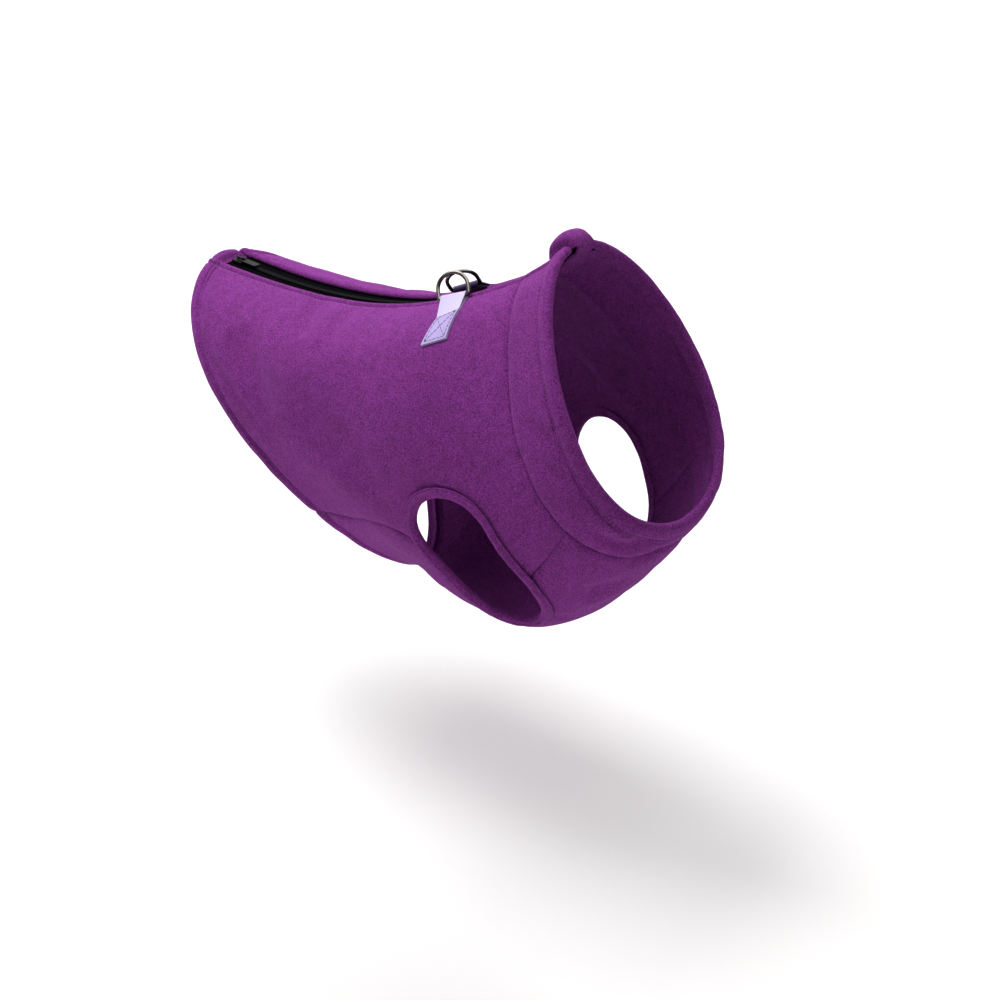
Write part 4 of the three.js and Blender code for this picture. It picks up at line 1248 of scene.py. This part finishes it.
def zip_seat(along, lift):
    """Frame on the zip line: x toward the head, z out of the cloth."""
    x, z = unit(slopes(along, 0.0)[0]), outward(along, 0.0)
    return seat_matrix(x, np.cross(z, x), z, face(along, 0.0) + z * lift)


def select_faces(piece, test):
    """Selects, in edit mode, the faces whose centre and normal pass the test."""
    bpy.ops.mesh.select_all(action="DESELECT")
    work = bmesh.from_edit_mesh(piece.data)
    for f in work.faces:
        f.select = test(f.calc_center_median() / MM, f.normal)
    work.select_flush_mode()
    bmesh.update_edit_mesh(piece.data)


class COAT_OT_zip_slider(bpy.types.Operator):
    """The die-cast slider with its crown, and the pull that swings on it"""

    bl_idname = "coat.zip_slider"
    bl_label = "Zip slider and pull"

    def execute(self, context):
        c = context.scene.coat_colours
        enamel = plain("black_enamelled_zinc", c.enamel, 0.5, grain=0.08, size_mm=1.2, shine=0.06)
        seat = zip_seat(SLIDER_ALONG, COIL_TOP)
        self.body(context, seat, enamel)
        self.pull(context, seat, enamel)
        return {"FINISHED"}

    def block(self, size, at):
        clear_selection()
        bpy.ops.mesh.primitive_cube_add(size=1, location=[v * MM for v in at], scale=[v * MM for v in size])
        bpy.ops.object.transform_apply(location=True, rotation=True, scale=True)
        return bpy.context.object

    def bevel(self, width, segments=3):
        bpy.ops.object.mode_set(mode="EDIT")
        bpy.ops.mesh.select_all(action="SELECT")
        bpy.ops.mesh.bevel(offset=width * MM, segments=segments, affect="EDGES")
        bpy.ops.object.mode_set(mode="OBJECT")

    def body(self, context, seat, enamel):
        roof = self.block((12, 9.6, 0.9), (0, 0, 0.75))
        bpy.ops.object.mode_set(mode="EDIT")
        select_faces(roof, lambda centre, normal: abs(normal.x) > 0.9)
        bpy.ops.transform.resize(value=(1, 0.72, 1))
        bpy.ops.object.mode_set(mode="OBJECT")
        self.bevel(0.32)
        parts = [roof]
        for sign in (1, -1):
            parts.append(self.block((11.2, 1.2, 2.3), (0, sign * 4.1, -0.55)))
            self.bevel(0.3, 2)
        for x in (-2.95, 2.95):
            parts.append(self.block((1.0, 2.2, 2.2), (x, 0, 2.2)))
            self.bevel(0.25, 2)
        parts.append(self.block((7, 2.3, 1.0), (0, 0, 3.1)))
        self.bevel(0.4)
        clear_selection()
        for p in parts:
            p.select_set(True)
        context.view_layer.objects.active = roof
        bpy.ops.object.join()
        bpy.ops.object.shade_smooth_by_angle(angle=math.radians(40))
        settle(roof, "slider_body", seat, enamel)
        attach(roof, "slider_paint", "zip_slider")

    def pull(self, context, seat, enamel):
        plate = self.block((23, 6.6, 0.8), (9.6, 0, 1.9))
        bpy.ops.object.mode_set(mode="EDIT")
        select_faces(plate, lambda centre, normal: normal.x > 0.9)
        bpy.ops.mesh.extrude_region_move(TRANSFORM_OT_translate={"value": (1.1 * MM, 0, 0)})
        bpy.ops.transform.resize(value=(1, 0.55, 0.8))
        bpy.ops.object.mode_set(mode="OBJECT")
        hole = self.block((6.6, 3.9, 3), (2.6, 0, 1.9))
        clear_selection()
        plate.select_set(True)
        context.view_layer.objects.active = plate
        cut = plate.modifiers.new("slot", "BOOLEAN")
        cut.object, cut.operation, cut.solver = hole, "DIFFERENCE", "EXACT"
        bpy.ops.object.modifier_apply(modifier=cut.name)
        bpy.data.objects.remove(hole)
        edge = plate.modifiers.new("rounded", "BEVEL")
        edge.width, edge.segments, edge.limit_method = 0.22 * MM, 2, "ANGLE"
        bpy.ops.object.modifier_apply(modifier=edge.name)
        bpy.ops.object.shade_smooth_by_angle(angle=math.radians(40))
        settle(plate, "slider_pull", seat, enamel)
        attach(plate, "slider_paint", "zip_pull", body="pull")


class COAT_OT_stitching(bpy.types.Operator):
    """Rows of stitches on the hem, beside the zip and on the bindings"""

    bl_idname = "coat.stitching"
    bl_label = "Stitching"

    def execute(self, context):
        sizes = context.scene.coat_sizes
        fleece = context.scene.coat_colours.fleece
        thread = sewing_thread("violet_fleece_thread", tuple(v * 0.8 for v in fleece))
        around = np.linspace(0.12, 2 * math.pi - 0.12, 400)
        for k, mm in enumerate((sizes.hem_row_near / MM, sizes.hem_row_far / MM)):
            along = mm / np.linalg.norm(slopes(0.0, around)[0], axis=-1)
            self.row(f"hem_row_{k + 1}", along, around, thread, sizes, -1.0)
        along = np.linspace(0.012, 0.962, 400)
        for side, sign in (("right", 1), ("left", -1)):
            angle = sign * angle_at(along, zip_half(along) + sizes.zip_row / MM)
            self.row(f"zip_row_{side}", along, angle, thread, sizes, -1.0)
        above = BINDING_AIR + BINDING_WALL
        along, angle, out = neck_line()
        a, b = moved(along, angle, out, sizes.neck_binding / MM - ROW_INSIDE)
        self.row("neck_row", a, b, thread, sizes, above)
        along, angle, out = arm_ring()
        a, b = moved(along, angle, out, sizes.arm_binding / MM - ROW_INSIDE)
        a, b = np.append(a, a[0]), np.append(b, b[0])
        self.row("armhole_row_right", a, b, thread, sizes, above)
        self.row("armhole_row_left", a, -b, thread, sizes, above)
        return {"FINISHED"}

    def row(self, name, along, angle, thread, sizes, lift):
        path, up = on_cloth(along, angle, 0.0), outward(along, angle)
        piece = stitches(name, path, up, thread, sizes, lift=lift)
        attach(piece, "fleece")


class COAT_OT_stage(bpy.types.Operator):
    """Pale floor, soft studio light and the camera"""

    bl_idname = "coat.stage"
    bl_label = "Stage"

    def execute(self, context):
        scene = context.scene
        floor_z = -0.405
        clear_selection()
        bpy.ops.mesh.primitive_plane_add(size=24, location=(0, 0, floor_z))
        floor = context.object
        floor.name = "floor"
        paint = plain("painted_studio_floor", scene.coat_colours.floor, 0.8, grain=0.05, size_mm=30)
        floor.data.materials.append(paint)
        world = bpy.data.worlds.new("studio")
        world.use_nodes = True
        nodes = world.node_tree.nodes
        way = put(nodes, "ShaderNodeTexCoord").outputs["Generated"]
        height = put(nodes, "ShaderNodeSeparateXYZ", {"Vector": way}).outputs["Z"]
        # brighter overhead than near the horizon
        glow = put(
            nodes,
            "ShaderNodeMapRange",
            {"Value": height, "From Min": 0.0, "From Max": 0.9, "To Min": 0.14, "To Max": 0.3},
        )
        # the camera sees a paler sky than the coat is lit by, and polished metal mirrors a bright ceiling
        ray = put(nodes, "ShaderNodeLightPath").outputs
        ceiling = put(
            nodes,
            "ShaderNodeMapRange",
            {"Value": height, "From Min": 0.66, "From Max": 0.74, "To Min": 0, "To Max": 4},
        )
        seen = put(
            nodes,
            "ShaderNodeMath",
            {0: ray["Is Camera Ray"], 1: 0.6, 2: glow.outputs[0]},
            operation="MULTIPLY_ADD",
        )
        sky = put(
            nodes,
            "ShaderNodeMath",
            {0: ray["Is Glossy Ray"], 1: ceiling.outputs[0], 2: seen.outputs[0]},
            operation="MULTIPLY_ADD",
        )
        world.node_tree.links.new(sky.outputs[0], nodes["Background"].inputs["Strength"])
        nodes["Background"].inputs["Color"].default_value = (1, 1, 1, 1)
        scene.world = world
        # each lamp: where it is, where it points, its width in metres, its power in watts
        for name, at, aim, size, watts in (
            ("key", (-0.8, -0.2, 2.0), (0, 0, -0.1), 1.2, 46),
            ("side", (-1.5, -1.6, 0.9), (0, 0, -0.1), 1.2, 4.5),
            ("rim", (-0.4, 1.9, 1.2), (0, 0, -0.1), 1.2, 11),
            ("front", (0.4, -0.2, 1.4), (0.15, 0, 0.05), 0.8, 4),
            ("backdrop", (-3.2, 3.6, 3.0), (-3.0, 3.4, -0.4), 4.0, 260),
        ):
            lamp = bpy.data.lights.new(name, "AREA")
            lamp.shape, lamp.size, lamp.energy = "SQUARE", size, watts
            holder = bpy.data.objects.new(name, lamp)
            holder.location = at
            holder.rotation_euler = (Vector(at) - Vector(aim)).to_track_quat("Z", "Y").to_euler()
            scene.collection.objects.link(holder)
        lens = bpy.data.cameras.new("camera")
        lens.lens, lens.sensor_width = 59.04, 36
        lens.clip_start, lens.clip_end = 0.05, 60
        camera = bpy.data.objects.new("camera", lens)
        target = Vector((0.047, 0, -0.150))
        back = Vector((0.5846, -0.6725, 0.4540)).normalized()
        camera.location = target + back * 1.270
        camera.rotation_euler = back.to_track_quat("Z", "Y").to_euler()
        scene.collection.objects.link(camera)
        scene.camera = camera
        scene.view_settings.view_transform = "Standard"
        return {"FINISHED"}


STEPS = (
    COAT_OT_stage,
    COAT_OT_side_panels,
    COAT_OT_underside,
    COAT_OT_collar,
    COAT_OT_bindings,
    COAT_OT_zip_chain,
    COAT_OT_zip_guard,
    COAT_OT_zip_slider,
    COAT_OT_lead_webbing,
    COAT_OT_lead_rings,
    COAT_OT_stitching,
)


class COAT_PT_sidebar(bpy.types.Panel):
    """Sizes, colours and building steps of the coat"""

    bl_idname = "COAT_PT_sidebar"
    bl_label = "Dog coat"
    bl_space_type = "VIEW_3D"
    bl_region_type = "UI"
    bl_category = "Dog coat"

    def draw(self, context):
        for group in (context.scene.coat_sizes, context.scene.coat_colours):
            box = self.layout.box()
            for name in group.__annotations__:
                box.prop(group, name)
        for step in STEPS:
            self.layout.operator(step.bl_idname)


CLASSES = (CoatSizes, CoatColours, *STEPS, COAT_PT_sidebar)


def register():
    for c in CLASSES:
        bpy.utils.register_class(c)
    bpy.types.Scene.coat_sizes = PointerProperty(type=CoatSizes)
    bpy.types.Scene.coat_colours = PointerProperty(type=CoatColours)


def unregister():
    del bpy.types.Scene.coat_colours
    del bpy.types.Scene.coat_sizes
    for c in reversed(CLASSES):
        bpy.utils.unregister_class(c)


def main():
    register()
    for step in STEPS:
        group, name = step.bl_idname.split(".")
        getattr(getattr(bpy.ops, group), name)()


if __name__ == "__main__":
    main()
